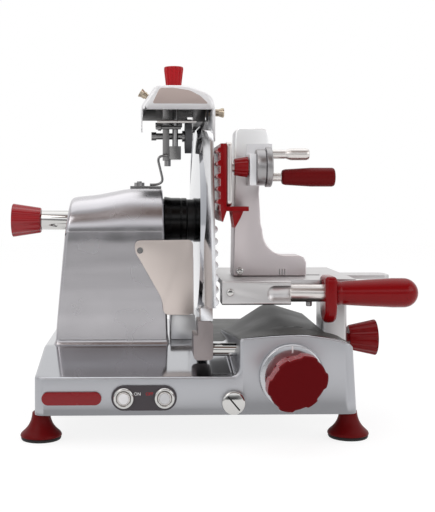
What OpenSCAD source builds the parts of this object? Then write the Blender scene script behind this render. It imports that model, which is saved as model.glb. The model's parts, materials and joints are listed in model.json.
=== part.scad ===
// Upright electric food slicer. Blade axis along X, carriage travel along Y, operator at -Y, floor at Z = 0.
// Sizes are in millimetres. The origin is the middle of the footprint on the floor.

/* [Base] */
// width of the base casting
base_w = 343; // [340:1:350]
// depth of the base casting
base_d = 340; // [338:1:356]
// height of the low front panel
panel_h = 40; // [40:0.5:44]
// height of the raised panel above the low panel
raise_h = 42; // [41:0.5:46]
// rise of the deck from its front edge to the motor housing
deck_rise = 18; // [17:0.5:20]
// wall of the base casting
wall = 5; // [4.5:0.25:6]
// height of the feet
foot_h = 30.5; // [28:0.5:44]
// thickness of the rubber pads
pad_t = 3.5; // [3:0.25:5]
// diameter of the feet
foot_d = 44.5; // [40:0.5:50]

/* [Blade] */
// diameter of the blade
blade_d = 250; // [246:1:251]
// gap from the guard ring to the deck
guard_lift = 10; // [9:0.5:11]
// wall of the guard ring
guard_t = 5; // [4.5:0.25:5.5]
// radial gap from the blade edge to the guard and the gauge plate
edge_gap = 3; // [2.5:0.25:4]
// radius of the black hub sleeve
sleeve_r = 27; // [25:0.5:29]
// radius of the blade spindle
spindle_r = 12.5; // [11.5:0.25:13.5]
// radius of the tie rod where it runs through the spindle
rod_r = 6; // [5:0.25:6.5]

/* [Drive] */
// radius of the pulley on the blade spindle
pulley_r = 30; // [28:0.5:30.5]
// radius of the pulley on the motor
drive_r = 15; // [13:0.5:16]
// outer radius of the motor
motor_r = 45; // [42:0.5:46]

/* [Thickness control] */
// radius of the lobed thickness knob
knob_r = 30.5; // [28:0.5:33]
// length of the thickness knob in front of the panel
knob_len = 47; // [42:0.5:52]
// radius of the index disc
dial_r = 34.6; // [34:0.2:37]
// travel of the gauge plate
gauge_travel = 14; // [10:0.5:14]
// radius of the gauge shaft
shaft_r = 7; // [6:0.25:7.5]

/* [Carriage] */
// thickness of the table plate
plate_t = 6; // [5:0.25:7]
// depth of the table
table_d = 170; // [160:1:180]
// height of the front bar of the table
bar_h = 26; // [24:0.5:27]
// radius of the handle tube
tube_r = 9.5; // [8.5:0.25:10]
// largest radius of the hand grip
grip_r = 16; // [14.5:0.25:17]
// radius of the carriage rail
rail_r = 8; // [7:0.25:8.5]
// height of the column above the table
column_h = 168; // [160:1:170]

/* [Fits] */
// radial clearance of turning and sliding shafts
run_fit = 0.05; // [0.03:0.01:0.09]
// gap kept between pieces that move past each other
gap = 0.4; // [0.35:0.05:0.5]

/* [Hidden] */
$fn = 64;
bx1 = 226;
bx0 = bx1 - base_w;
bz0 = foot_h;
deck_z = bz0 + panel_h;
hz0 = deck_z + deck_rise;
raise_z = deck_z + raise_h;
rx0 = 100;
rec_x = bx1 - 27;
rec_y0 = 45;
rec_y1 = base_d - 40;
blade_r = blade_d / 2;
guard_r = blade_r + edge_gap;
ax_y = 65 + blade_r;
ax_z = hz0 + guard_r + guard_t + guard_lift;
top_z = ax_z + blade_r;
hy0 = ax_y - 80;
hy1 = ax_y + 82;
house_h = ax_z - hz0 + 39;
house_z = hz0 + house_h;
shoulder_r = 45;
hub_x = 57;
edge_x = 74;
foot_x0 = bx0 + 5;
foot_x1 = bx1 - 5.5;
foot_y0 = 25;
foot_y1 = base_d - 25;
foot_at = [[foot_x0, foot_y0], [foot_x1, foot_y0], [foot_x0, foot_y1], [foot_x1, foot_y1]];
knob_x = rx0 + 55;
knob_z = deck_z + 0.7;
neck_r = 22.4;
grip_turn = 36;
flat_d = 18.6;
flat_y = 22;
notch_r = 19;
notch_t = 2.2;
cam_y0 = 24;
cam_y1 = 32;
cam_min = 12;
roller_r = 5;
roller_x = knob_x - cam_min - roller_r - 0.6;
shaft_y = 30;
shaft_z = raise_z - 17.5;
guide_y = 44;
guide_r = 3;
rail_x = 93.5;
rail_z = bz0 + 13;
arm_x0 = bx1 - 23;
arm_x1 = bx1 + 6;
arm_y0 = 85;
arm_y1 = 125;
table_z = ax_z - 61;
table_x0 = 83;
table_y0 = 40;
tube_y = 28;
tube_z = table_z - 14;
grip_x0 = 206;
guard_x0 = grip_x0 - 13;
tube_x0 = 156;
spigot_r = 5;
scoop_r = 12;
scoop_x = 140;
tube_x1 = grip_x0 + 25;
grip_x1 = 297;
lock_z = bz0 + 66;
col_y0 = 75;
col_y1 = 115;
col_z0 = table_z + gap;
col_z1 = table_z + column_h;
ring_x1 = 78;
rib_x = 80;
rib_r = 4.5;
tooth_r = 3;
push_x = ring_x1 + gap + tooth_r;
push_t = 6.6;
push_y = 42;
push_z = table_z + 123;
disc_x1 = 138.4;
stem_x0 = disc_x1 - 6;
motor_y = ax_y;
motor_z = hz0 + 6 + motor_r;
cover_z = top_z + 8.5;
cover_y0 = ax_y - 55;
cover_y1 = ax_y + 55;
bar_y = ax_y - 8;
screw_y = ax_y - 25;
wire_y = ax_y - 22.7;
sheet_y = hy0 - 6.5;
sheet_t = 1.5;
tab_x = edge_x + 1.2;
wire_r = 1.5;
grind_z = top_z - 21;
deburr_z = top_z + 9;
on_x = -22.7;
off_x = 20.5;
press_z = bz0 + 18.5;
left_x = -164.5;
mid_x = (left_x + grip_x1) / 2;
mid_y = (base_d + 12 - knob_len) / 2;

module place() translate([-mid_x, -mid_y, 0]) children();
// solid of a flat XZ outline between two depths
module xz(y0, y1) translate([0, y1, 0]) rotate([90, 0, 0]) linear_extrude(y1 - y0) children();
// solid of a flat YZ outline between two stations along X
module yz(x0, x1) translate([x0, 0, 0]) rotate([90, 0, 90]) linear_extrude(x1 - x0) children();
// cylinder along X
module xrod(x0, x1, y, z, r, fn = 64) translate([x0, y, z]) rotate([0, 90, 0])
  cylinder(h = x1 - x0, r = r, $fn = fn);
// cylinder along Y
module yrod(y0, y1, x, z, r) translate([x, y0, z]) rotate([-90, 0, 0]) cylinder(h = y1 - y0, r = r);
// profile of [radius, station] points turned about an axis along X
module xturn(y, z) translate([0, y, z]) rotate([90, 0, 90]) rotate_extrude() children();
// flat rectangle with round corners
module rsq(x0, y0, x1, y1, r) {
  translate([x0 + r, y0]) square([x1 - x0 - 2 * r, y1 - y0]);
  translate([x0, y0 + r]) square([x1 - x0, y1 - y0 - 2 * r]);
  for (x = [x0 + r, x1 - r], y = [y0 + r, y1 - r]) translate([x, y]) circle(r);
}
// fluted cone along X with its base radius at x0
module flute_cone(x0, x1, y, z, r0, r1, n) difference() {
  translate([x0, y, z]) rotate([0, 90, 0]) cylinder(h = x1 - x0, r1 = r0, r2 = r1);
  for (i = [0 : n - 1]) translate([x0, y, z]) rotate([i * 360 / n, 0, 0])
    translate([0, 0, r0 + 1]) rotate([0, 90 - atan((r1 - r0) / (x1 - x0)), 0])
      translate([0, 0, -6]) cylinder(h = x1 - x0 + 14, r = 1.9, $fn = 24);
}

// Base

module fascia_face() polygon([[rx0, bz0], [rx0, raise_z - 4], [rx0 + 1.4, raise_z - 1.8],
  [rx0 + 4, raise_z - 1], [rx0 + 36, raise_z + 1.6], [rx0 + 70, raise_z + 2.6],
  [bx1 - 32, raise_z - 0.6], [bx1 - 13, raise_z - 5], [bx1 - 7.4, raise_z - 8], [bx1 - 4, raise_z - 13.5],
  [bx1, bz0]]);

module roof() hull() {
  xz(0, 1) fascia_face();
  xz(194, 195) polygon([[rx0 - 4, bz0], [rx0 - 4, hz0 + 3], [rx0 + 52, raise_z + 14], [bx1 - 12, raise_z - 4],
    [bx1 - 12, bz0]]);
}

module roof_hollow() hull() {
  xz(wall, wall + 1) polygon([[rx0 + wall, deck_z - wall], [rx0 + wall, raise_z - 2 * wall],
    [rec_x - wall, raise_z - 2 * wall], [rec_x - wall, deck_z - wall]]);
  xz(194 - wall, 195 - wall) polygon([[rx0 + wall, deck_z - wall], [rx0 + wall, hz0 - wall],
    [rx0 + 52, raise_z + 12 - wall], [rec_x - wall, raise_z - wall], [rec_x - wall, deck_z - wall]]);
}

module base_casting() color("silver") difference() {
  union() {
    difference() {
      union() {
        intersection() {
          translate([0, 0, bz0]) linear_extrude(raise_z) rsq(bx0, 0, bx1, base_d, 12);
          union() {
            yz(bx0, bx1) polygon([[0, bz0], [0, deck_z - 4], [0.5, deck_z - 2], [1.6, deck_z - 0.7],
              [4, deck_z + 0.6], [hy0 - 4, hz0], [base_d - 4, hz0], [base_d - 1.2, hz0 - 1.2],
              [base_d, hz0 - 4], [base_d, bz0]]);
            roof();
          }
        }
        xz(0, 52) difference() {
          translate([rx0 - 10, deck_z - 2]) square([11, 12]);
          translate([rx0 - 10, deck_z + 10.6]) circle(10);
        }
      }
      yz(bx0 + wall, rec_x - wall) polygon([[wall, bz0 - 1], [wall, deck_z - wall], [hy0 - 4, hz0 - wall],
        [base_d - wall, hz0 - wall], [base_d - wall, bz0 - 1]]);
      roof_hollow();
      translate([rx0 + wall, wall, deck_z - wall - 1])
        cube([rec_x - rx0 - 2 * wall, 52 - 2 * wall, raise_z - deck_z - 8.5 + wall]);
      translate([rec_x, rec_y0, bz0 - 1]) cube([60, rec_y1 - rec_y0, 200]);
    }
    intersection() {
      translate([0, 0, bz0]) linear_extrude(30) rsq(bx0, 0, bx1, base_d, 12);
      for (p = foot_at) translate([p[0], p[1], bz0]) cylinder(h = 24, r = 9);
    }
    yrod(wall, 20, knob_x, knob_z, 12);
    xrod(rx0 - 4, rx0 + 1, shaft_y, shaft_z, shaft_r + 3);
  }
  for (p = foot_at) translate([p[0], p[1], bz0 - 1]) cylinder(h = 17, r = 2.5, $fn = 32);
  translate([rec_x - wall - 1, rec_y0, bz0 - 1]) cube([wall + 2, rec_y1 - rec_y0, 15]);
  yrod(-1, 21, knob_x, knob_z, 6 + run_fit);
  yrod(-1, base_d + 1, rail_x, rail_z, rail_r);
  xrod(rx0 - 6, rx0 + wall + 1, shaft_y, shaft_z, shaft_r + run_fit);
  xrod(rx0 - 1, rx0 + wall + 1, guide_y, shaft_z, guide_r + run_fit);
  for (x = [on_x, off_x]) yrod(-1, wall + 1, x, press_z, 8.5);
  yrod(base_d - wall - 1, base_d + 1, -60, bz0 + 20, 8);
}

module bottom_cover() color("dimgray") translate([0, 0, bz0]) linear_extrude(2.5) difference() {
  translate([bx0 + wall + gap, wall + gap])
    square([rec_x - bx0 - 2 * wall - 2 * gap, base_d - 2 * wall - 2 * gap]);
  for (p = foot_at) translate(p) circle(9 + gap);
}

// height at a share of the way up a foot
function up(share) = pad_t + share * (foot_h - pad_t);

module feet() color("darkred") for (p = foot_at) translate([p[0], p[1], 0]) {
  rotate_extrude() polygon([[0, pad_t], [foot_d / 2, pad_t], [foot_d / 2, up(0.08)],
    [foot_d / 2 - 1.5, up(0.16)], [foot_d / 2 - 5, up(0.27)], [foot_d / 2 - 8.6, up(0.43)],
    [foot_d / 2 - 11, up(0.61)], [foot_d / 2 - 12.3, up(0.8)], [foot_d / 2 - 12.8, foot_h], [0, foot_h]]);
  translate([0, 0, foot_h]) cylinder(h = 15, r = 2.5, $fn = 32);
}

module foot_pads() color("black") for (p = foot_at) translate([p[0], p[1], 0])
  rotate_extrude() polygon([[0, 0], [foot_d / 2 - 2, 0], [foot_d / 2 - 0.6, 1.6], [foot_d / 2 - 0.6, pad_t],
    [0, pad_t]]);

module label_plate() color("darkred") xz(-1.2, 0) rsq(bx0 + 8, bz0 + 11, bx0 + 71, bz0 + 25, 6.9);

module switch_panel() color("dimgray") xz(-2, 0) difference() {
  rsq(-35.5, press_z - 13.2, 33.4, press_z + 13.2, 13.1);
  for (x = [on_x, off_x]) translate([x, press_z]) circle(8.5);
}

module button_bezels() color("lightgray") for (x = [on_x, off_x])
  translate([x, 0, press_z]) rotate([90, 0, 0]) rotate_extrude()
    polygon([[7.6, 2], [11, 2], [11, 3.4], [9.8, 4.8], [8.8, 5], [7.6, 4.2]]);

module push_button(x) translate([x, 0, press_z]) rotate([90, 0, 0])
  rotate_extrude() polygon([[0, -18], [4, -18], [4, -1], [7.1, -1], [7.1, 5.6], [6.4, 6.3], [0, 6.6]]);
module on_button() color("white") push_button(on_x);
module off_button() color("gainsboro") push_button(off_x);

module switch_body() color("black") difference() {
  translate([on_x - 12, wall, press_z - 12]) cube([off_x - on_x + 24, 24, 24]);
  for (x = [on_x, off_x]) yrod(wall - 1, wall + 17, x, press_z, 8.5);
}

module power_inlet() color("black") difference() {
  union() {
    yrod(base_d - wall - 6, base_d, -60, bz0 + 20, 8);
    yrod(base_d, base_d + 12, -60, bz0 + 20, 11);
  }
  yrod(base_d - wall - 7, base_d + 13, -60, bz0 + 20, 4.5);
}

module rail() color("lightgray") yrod(0, base_d - 1, rail_x, rail_z, rail_r);

module rail_cap() color("gainsboro") difference() {
  translate([rail_x, 0, rail_z]) rotate([90, 0, 0])
    rotate_extrude() polygon([[0, 0], [12.6, 0], [12.6, 2.4], [11, 4], [0, 4]]);
  translate([rail_x, -4, rail_z]) rotate([0, 26, 0]) translate([-1.4, -1, -14]) cube([2.8, 2.6, 28]);
}

// Thickness control

module index_dial() color("silver") difference() {
  yrod(-6, 0, knob_x, knob_z, dial_r);
  yrod(-7, 1, knob_x, knob_z, 8);
  translate([knob_x - 0.8, -6.5, knob_z + dial_r - 9]) cube([1.6, 1, 7]);
}

module knob_flat() let (lean = (knob_r - flat_d) / (knob_len - flat_y))
  rotate([90, 0, 0]) translate([0, 0, -knob_r - 5]) linear_extrude(2 * knob_r + 10)
    polygon([[flat_d - lean, knob_len + 1], [knob_r + 3, knob_len + 1], [knob_r + 3, flat_y - 3 / lean]]);

module thickness_knob() color("darkred") translate([knob_x, 0, knob_z]) rotate([90, 0, 0]) difference() {
  rotate_extrude() polygon([[6, 6 + gap], [neck_r, 6 + gap], [neck_r, 13], [knob_r - 3, 15], [knob_r, 18],
    [knob_r, knob_len - 4], [knob_r - 1.4, knob_len - 1.4], [knob_r - 4.6, knob_len], [0, knob_len],
    [0, knob_len - 8], [6, knob_len - 8]]);
  for (i = [0 : 5]) rotate(grip_turn + 60 * i) translate([knob_r + notch_r - notch_t, 0, 13])
    cylinder(h = knob_len, r = notch_r);
  for (a = [90, 270]) rotate(grip_turn + a) knob_flat();
}

cam_pts = [for (a = [0 : 6 : 300]) let (r = cam_min + gauge_travel * a / 300)
    [r * cos(180 + a), r * sin(180 + a)],
  for (a = [318 : 6 : 354]) [cam_min * cos(180 + a), cam_min * sin(180 + a)]];

module cam_spindle() color("lightgray") {
  yrod(-knob_len + 8, cam_y1 + 6, knob_x, knob_z, 6);
  translate([knob_x, 0, knob_z]) xz(cam_y0, cam_y1) difference() {
    polygon(cam_pts);
    circle(5.5);
  }
}

module gauge_shaft() color("gainsboro") {
  xrod(56, 131, shaft_y, shaft_z, shaft_r);
  xrod(56, 124, guide_y, shaft_z, guide_r);
  yrod(cam_y0, 36, roller_x, knob_z, roller_r);
  translate([roller_x - 6, 35, knob_z - 7]) cube([12, 5, shaft_z - knob_z + 5]);
  translate([120, 35, shaft_z - 8]) cube([roller_x - 120 + 6, 5, 8]);
  translate([120, 35, shaft_z - 4]) cube([6, guide_y - 35, 6]);
}

module gauge_block() color("silver") difference() {
  xz(16, 56) difference() {
    rsq(52, hz0 - 3, 73, hz0 + 39, 5);
    translate([51, hz0 + 24]) square([6, 16]);
  }
  xrod(56, 80, shaft_y, shaft_z, shaft_r);
  xrod(56, 80, guide_y, shaft_z, guide_r);
}

module gauge_outline() difference() {
  polygon([[24, table_z - 30], [102, table_z - 30], [124, table_z + 60], [124, table_z + 168],
    [96, table_z + 168], [78, table_z + 164], [66, table_z + 152]]);
  translate([ax_y, ax_z]) circle(guard_r, $fn = 128);
}

module gauge_plate() color("lightgray") {
  difference() {
    union() {
      yz(66, 77) gauge_outline();
      intersection() {
        yz(76, rib_x) gauge_outline();
        for (i = [0 : 6]) yrod(0, 130, rib_x - rib_r, table_z - 23.5 + i * 13, rib_r);
      }
    }
    translate([66, 24, table_z - 30]) rotate([-atan(42 / 182), 0, 0]) translate([0, 0, -30])
      linear_extrude(300) polygon([[-1, -5], [7.5, -5], [7, 0], [-0.3, 24], [-1, 24]]);
  }
  yz(60, 73) polygon([[20, hz0 + 39], [52, hz0 + 39], [52, table_z - 30], [24, table_z - 30]]);
}

// Motor housing

module house_front(o) polygon([[-105 + o, hz0 - 1], [-103.2 + o, hz0 + 25], [-99.6 + o, hz0 + 65],
  [-96.4 + o, house_z - 82], [-93.4 + o, house_z - 52], [-90.6 + o, house_z - 22],
  [-88 + o, house_z - 13 - o], [-84 + o, house_z - 10 - o], [-58, house_z - 7.5 - o],
  [-35, house_z - 3 - o], [-22, house_z - 0.4 - o], [-16, house_z - o], [21 - o, house_z - o],
  [26.8 - o, hz0 - 1]]);
module house_side(o) {
  translate([hy0 + o, hz0]) square([hy1 - hy0 - 2 * o, house_h - shoulder_r]);
  translate([hy0 + shoulder_r, hz0]) square([hy1 - hy0 - 2 * shoulder_r, house_h - o]);
  for (y = [hy0 + shoulder_r, hy1 - shoulder_r]) translate([y, house_z - shoulder_r]) circle(shoulder_r - o);
}

module motor_housing() color("silver") difference() {
  union() {
    difference() {
      intersection() {
        xz(hy0 - 5, hy1 + 5) house_front(0);
        yz(-120, 40) house_side(0);
      }
      translate([0, 0, -0.01]) intersection() {
        xz(hy0, hy1) house_front(4);
        yz(-120, 40) house_side(4);
      }
    }
    xrod(-94, -76, ax_y, ax_z, 16);
    difference() {
      translate([0, 0, hz0]) linear_extrude(5) rsq(-107, hy0 - 2, 28.6, hy1 + 2, 6);
      translate([-101, hy0 + 4, hz0 - 1]) cube([123, hy1 - hy0 - 8, 7]);
    }
  }
  xrod(-110, -70, ax_y, ax_z, 12 + run_fit);
  xrod(10, 40, ax_y, ax_z, sleeve_r);
  yrod(hy0 - 6, hy0 + 8, -5.8, ax_z - 33, 2);
  yrod(hy0 - 6, hy0 + 8, 16, ax_z - 66, 3);
}

module motor_stator() color("dimgray") difference() {
  union() {
    xrod(-88, -14, motor_y, motor_z, motor_r);
    translate([-80, motor_y - 34, hz0]) cube([58, 68, 20]);
  }
  xrod(-84, -18, motor_y, motor_z, 24.6);
  xrod(-90, -10, motor_y, motor_z, 6 + run_fit);
}

module rotor() color("gray") {
  xrod(-92, 14, motor_y, motor_z, 6);
  xrod(-80, -22, motor_y, motor_z, 24);
  xturn(motor_y, motor_z) polygon([[5.5, -3], [drive_r + 1.6, -3], [drive_r + 1.6, -1.4], [drive_r, -1.4],
    [drive_r, 12.4], [drive_r + 1.6, 12.4], [drive_r + 1.6, 14], [5.5, 14]]);
}

// closed outline round two circles of radius a (at 0) and b (at height d)
function loop(a, b, d) = let (t = asin((b - a) / d)) concat(
  [for (i = [0 : 24]) let (q = 180 - (0 - t) + i * (180 - 2 * t) / 24) [a * cos(q), a * sin(q)]],
  [for (i = [0 : 36]) let (q = -t + i * (180 + 2 * t) / 36) [b * cos(q), d + b * sin(q)]]);

module drive_belt() color("black") translate([0, motor_y, motor_z]) yz(0, 11) difference() {
  polygon(loop(drive_r + gap + 2.2, pulley_r + gap + 2.2, ax_z - motor_z));
  polygon(loop(drive_r + gap, pulley_r + gap, ax_z - motor_z));
}

module hub_sleeve() color("black") xturn(ax_y, ax_z) polygon([[21, 15], [sleeve_r, 15], [sleeve_r, 24],
  [sleeve_r + 2.2, 24], [sleeve_r + 2.2, 26], [sleeve_r + 1, 33], [sleeve_r + 0.8, 51], [sleeve_r - 0.2, 52],
  [21, 52]]);

module bearings() color("gainsboro") for (x = [18, 40]) xturn(ax_y, ax_z)
  polygon([[spindle_r + run_fit, x], [21, x], [21, x + 10], [spindle_r + run_fit, x + 10]]);

module blade_spindle() color("dimgray") xturn(ax_y, ax_z) polygon([[rod_r + 1, -6], [pulley_r + 1.6, -6],
  [pulley_r + 1.6, -1.4], [pulley_r, -1.4], [pulley_r, 12.4], [pulley_r + 1.6, 12.4], [pulley_r + 1.6, 14],
  [spindle_r, 14], [spindle_r, 52 + gap], [26, 52 + gap], [26, hub_x], [rod_r + 1, hub_x]]);

module blade() color("whitesmoke") difference() {
  xturn(ax_y, ax_z) polygon([[12, hub_x], [40, hub_x], [blade_r - 13, hub_x + 6], [blade_r - 0.2, edge_x],
    [blade_r, edge_x + 0.3], [blade_r - 0.2, edge_x + 0.6], [blade_r - 13, hub_x + 11], [40, hub_x + 4],
    [12, hub_x + 4]]);
  for (a = [0 : 90 : 270]) translate([0, ax_y, ax_z]) rotate([a + 45, 0, 0]) xrod(50, 70, 0, 20, 3);
}

module blade_screws() color("gray") for (a = [0 : 90 : 270])
  translate([0, ax_y, ax_z]) rotate([a + 45, 0, 0]) {
  xrod(hub_x, hub_x + 4, 0, 20, 3);
  xrod(hub_x + 4, hub_x + 6, 0, 20, 5);
}

// tongue of the blade cover, which sits in a notch of the guard ring
module cover_tab() translate([tab_x, ax_y + blade_r - 55, ax_z - 12])
  cube([edge_x + 4 - tab_x, edge_gap + 57, 24]);

module blade_cover() color("silver") difference() {
  union() {
    xturn(ax_y, ax_z) polygon([[0, 60], [9, 60], [9, 68], [blade_r - 39, 70.5],
      [blade_r - 37, 71.5], [blade_r - 37, 73], [blade_r - 39, 74],
      [0, 74]]);
    translate([72, ax_y + blade_r - 55, ax_z - 12]) cube([6, 15, 24]);
    cover_tab();
  }
  xrod(50, 68, ax_y, ax_z, rod_r + run_fit);
}

module tie_rod() color("gainsboro") difference() {
  union() {
    xrod(-129, -62, ax_y, ax_z, 12);
    xrod(-150, 66, ax_y, ax_z, rod_r);
  }
  translate([-110, ax_y - 13, ax_z - 6]) rotate([-90, 0, 0]) cylinder(h = 5, r = 2, $fn = 32);
}

module tie_rod_knob() color("darkred") difference() {
  flute_cone(left_x, -129, ax_y, ax_z, 21, 15.6, 12);
  xrod(-150, -128, ax_y, ax_z, rod_r);
}

module blade_guard() color("silver") difference() {
  union() {
    intersection() {
      xturn(ax_y, ax_z) polygon([[guard_r, 62], [guard_r + guard_t, 62], [guard_r + guard_t, ring_x1 - 1],
        [guard_r + guard_t - 1, ring_x1], [guard_r, ring_x1]]);
      yz(60, 80) polygon([[ax_y, ax_z], [ax_y + 88, ax_z + 166], [ax_y + 300, ax_z + 166],
        [ax_y + 300, ax_z - 200], [ax_y - 54, ax_z - 200]]);
    }
    translate([31, ax_y - 45, hz0]) cube([31, 70, 30]);
    translate([61, ax_y - 30, hz0]) cube([16, 50, 20]);
  }
  xrod(60, 90, ax_y, ax_z, guard_r, 128);
  translate([36, ax_y - 40, hz0 - 1]) cube([20, 60, 26]);
  cover_tab();
}

module slice_deflector() color("tan") difference() {
  union() {
    xz(sheet_y, sheet_y + sheet_t) polygon([[-11.6, ax_z - 21.5], [50, ax_z - 20.5], [53, ax_z - 108],
      [21.5, ax_z - 108], [20.3, ax_z - 90.5], [-6.3, ax_z - 43], [-11.6, ax_z - 35]]);
    xz(sheet_y + sheet_t, sheet_y + 13.5) polygon([[48.5, ax_z - 40.5], [50, ax_z - 40.5],
      [53, ax_z - 108], [51.5, ax_z - 108]]);
  }
  yrod(sheet_y - 1.5, sheet_y + 4.5, -5.8, ax_z - 33, 2);
}

module deflector_screws() color("gray") {
  yrod(sheet_y - 1.5, sheet_y, -5.8, ax_z - 33, 3.6);
  yrod(sheet_y, hy0 + 6, -5.8, ax_z - 33, 2);
  difference() {
    yrod(sheet_y + sheet_t, hy0, -5.8, ax_z - 33, 4);
    yrod(sheet_y, hy0 + 1, -5.8, ax_z - 33, 2);
  }
  yrod(sheet_y + sheet_t, hy0 + 6, 16, ax_z - 66, 3);
}

// Sharpener

module cover_outline(o) polygon([[-4.7 + o, cover_z], [-4.7 + o, cover_z + 4 - o * 0.3],
  [12.7 + o * 0.6, cover_z + 29 - o], [46 - o * 0.2, cover_z + 29 - o], [60 - o * 0.3, cover_z + 25.6 - o],
  [74 - o * 0.5, cover_z + 20.2 - o], [80 - o * 0.7, cover_z + 15 - o * 0.7], [82.8 - o, cover_z + 8],
  [84 - o, cover_z]]);

module sharpener_cover() color("silver") {
  translate([-4.7, cover_y1 - 3, cover_z - 5.5]) cube([60, 3, 13]);
  cover_shell();
}

module cover_shell() difference() {
  union() {
    xz(cover_y0, cover_y1) cover_outline(0);
    translate([80, cover_y0, cover_z - 18.5]) cube([4, cover_y1 - cover_y0, 19]);
    translate([-4.7, cover_y0, cover_z - 24]) cube([1.6, 60, 25]);
  }
  xz(cover_y0 + 4, cover_y1 + 1) translate([0, -0.01]) cover_outline(4);
  xz(cover_y0 - 1, cover_y0 + 1.6) panel_outline();
  xrod(70, 90, ax_y, deburr_z, 4 + run_fit);
  xrod(74, 79.4, ax_y, deburr_z, 12);
  translate([35, screw_y, cover_z + 10]) cylinder(h = 30, r = 3 + run_fit);
  translate([4.3, screw_y - 5, cover_z + 16]) rotate([0, -57.6, 0]) translate([0, 0, -12])
    cylinder(h = 24, r = 3.5 + run_fit);
}

module panel_outline() polygon([[8.8, cover_z + 6.8], [17.6, cover_z + 25.3], [36.2, cover_z + 25.3],
  [53.4, cover_z + 22.4], [66, cover_z + 16], [75.7, cover_z + 6.8]]);

module sharpener_panel() color("rosybrown") xz(cover_y0 + 0.5, cover_y0 + 1.6) panel_outline();

module sharpener_frame() color("gray") difference() {
  union() {
    translate([14, ax_y - 48, cover_z + 8]) cube([58, 120, 6]);
    translate([35, screw_y, cover_z + 13]) cylinder(h = 12, r = 8);
    translate([62, ax_y + 42, top_z - 35]) cube([16, 30, cover_z - top_z + 44]);
    translate([22, bar_y - 10, top_z - 51]) cube([8, 20, cover_z - top_z + 60]);
    translate([30, bar_y - 18, top_z - 50]) cube([14, 26, 16]);
    translate([37, bar_y - 14, top_z - 45]) cylinder(h = cover_z - top_z + 54, r = 3.5);
    translate([28, bar_y, top_z - 58]) cylinder(h = 9, r = 4);
    xrod(13, 46, bar_y, top_z - 7, 3);
  }
  xrod(55, 85, ax_y, ax_z, guard_r + guard_t, 128);
  xrod(10, 60, bar_y, grind_z, 4 + run_fit);
  translate([35, screw_y, cover_z]) cylinder(h = 30, r = 3 + run_fit);
}

module sharpener_knob() color("darkred") {
  translate([35, screw_y, 0]) rotate([0, -90, 0])
    flute_cone(cover_z + 29 + gap, cover_z + 54, 0, 0, 9.4, 12.2, 10);
  translate([35, screw_y, cover_z + 6]) cylinder(h = 24, r = 3);
}

module grind_spindle() color("dimgray") {
  xrod(10, 59, bar_y, grind_z, 4);
  xrod(8, 14, bar_y, grind_z, 5.2);
  xrod(46, 49.2, bar_y, grind_z, 7);
  xrod(57.9, 59, bar_y, grind_z, 6);
}

module grind_stone() color("darkslategray") difference() {
  xrod(49.6, 57.6, bar_y, grind_z, 21);
  xrod(49, 60, bar_y, grind_z, 4 + run_fit);
}

module left_push_knob() color("gainsboro") translate([4.3, screw_y - 5, cover_z + 16]) rotate([0, -57.6, 0]) {
  translate([0, 0, -5]) cylinder(h = 13, r = 3.5);
  translate([0, 0, 4]) rotate_extrude() polygon([[0, 0], [4.4, 0], [4.4, 4], [5.6, 7.4], [5.2, 8], [0, 8]]);
}

module right_push_knob() color("gainsboro") xturn(ax_y, deburr_z)
  polygon([[0, 75.8], [4.6, 75.8], [4.6, 76.3], [3, 76.3], [3, 79.2], [4, 79.2], [4, 87.5], [4.6, 88],
    [4.6, 92], [6.2, 97], [5.6, 98.6], [0, 98.6]]);

module deburr_stone() color("darkslategray") xturn(ax_y, deburr_z)
  polygon([[3 + run_fit, 76.6], [11, 76.6], [11, 78.8], [3 + run_fit, 78.8]]);

// unit vector along v
function unit(v) = v / norm(v);
// point beside corner i of path p, w to its left
function beside(p, i, w) = let (n = len(p) - 1, a = unit(p[max(i, 1)] - p[max(i, 1) - 1]),
  b = unit(p[min(i, n - 1) + 1] - p[min(i, n - 1)]), t = unit(a + b)) p[i] + w / (t * a) * [-t[1], t[0]];

wire_path = [[6, house_z + 5], [15, house_z + 5], [20.6, house_z + 8], [21.6, house_z + 12], [16, top_z - 51],
  [17.6, top_z - 46.4], [28, top_z - 44.6]];

module latch_wire() color("dimgray") xz(wire_y, wire_y + 2 * wire_r) polygon(concat(
  [for (i = [0 : len(wire_path) - 1]) beside(wire_path, i, wire_r)],
  [for (i = [len(wire_path) - 1 : -1 : 0]) beside(wire_path, i, -wire_r)]));

module latch_plate() color("dimgray") {
  translate([-18, ax_y - 24, house_z]) cube([38, 34, 3.4]);
  translate([-7, ax_y - 4, house_z + 3.4]) cylinder(h = 4.4, r = 6.4, $fn = 6);
  translate([-7, ax_y - 4, house_z + 7.8]) cylinder(h = 1.6, r = 3);
}

// Carriage

module trolley() color("silver") difference() {
  translate([rail_x - 14, 62, bz0 + 3.4]) cube([28, 80, 23]);
  yrod(60, 145, rail_x, rail_z, rail_r + run_fit);
}

module carriage_arm() color("silver") difference() {
  union() {
    translate([rail_x + 14, arm_y0, bz0 + 4]) cube([arm_x0 - rail_x - 10, arm_y1 - arm_y0, 8]);
    translate([0, 0, bz0 + 4]) linear_extrude(table_z - plate_t - bz0 - 4)
      rsq(arm_x0, arm_y0, arm_x1, arm_y1, 4);
  }
  xrod(arm_x1 - 16, arm_x1 + 1, 105, lock_z, 5 + run_fit);
}

module lock_knob() color("darkred") {
  xrod(arm_x1 - 15, arm_x1 + 7, 105, lock_z, 5);
  flute_cone(arm_x1 + 5, arm_x1 + 37, 105, lock_z, 14, 21, 12);
}

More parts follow.
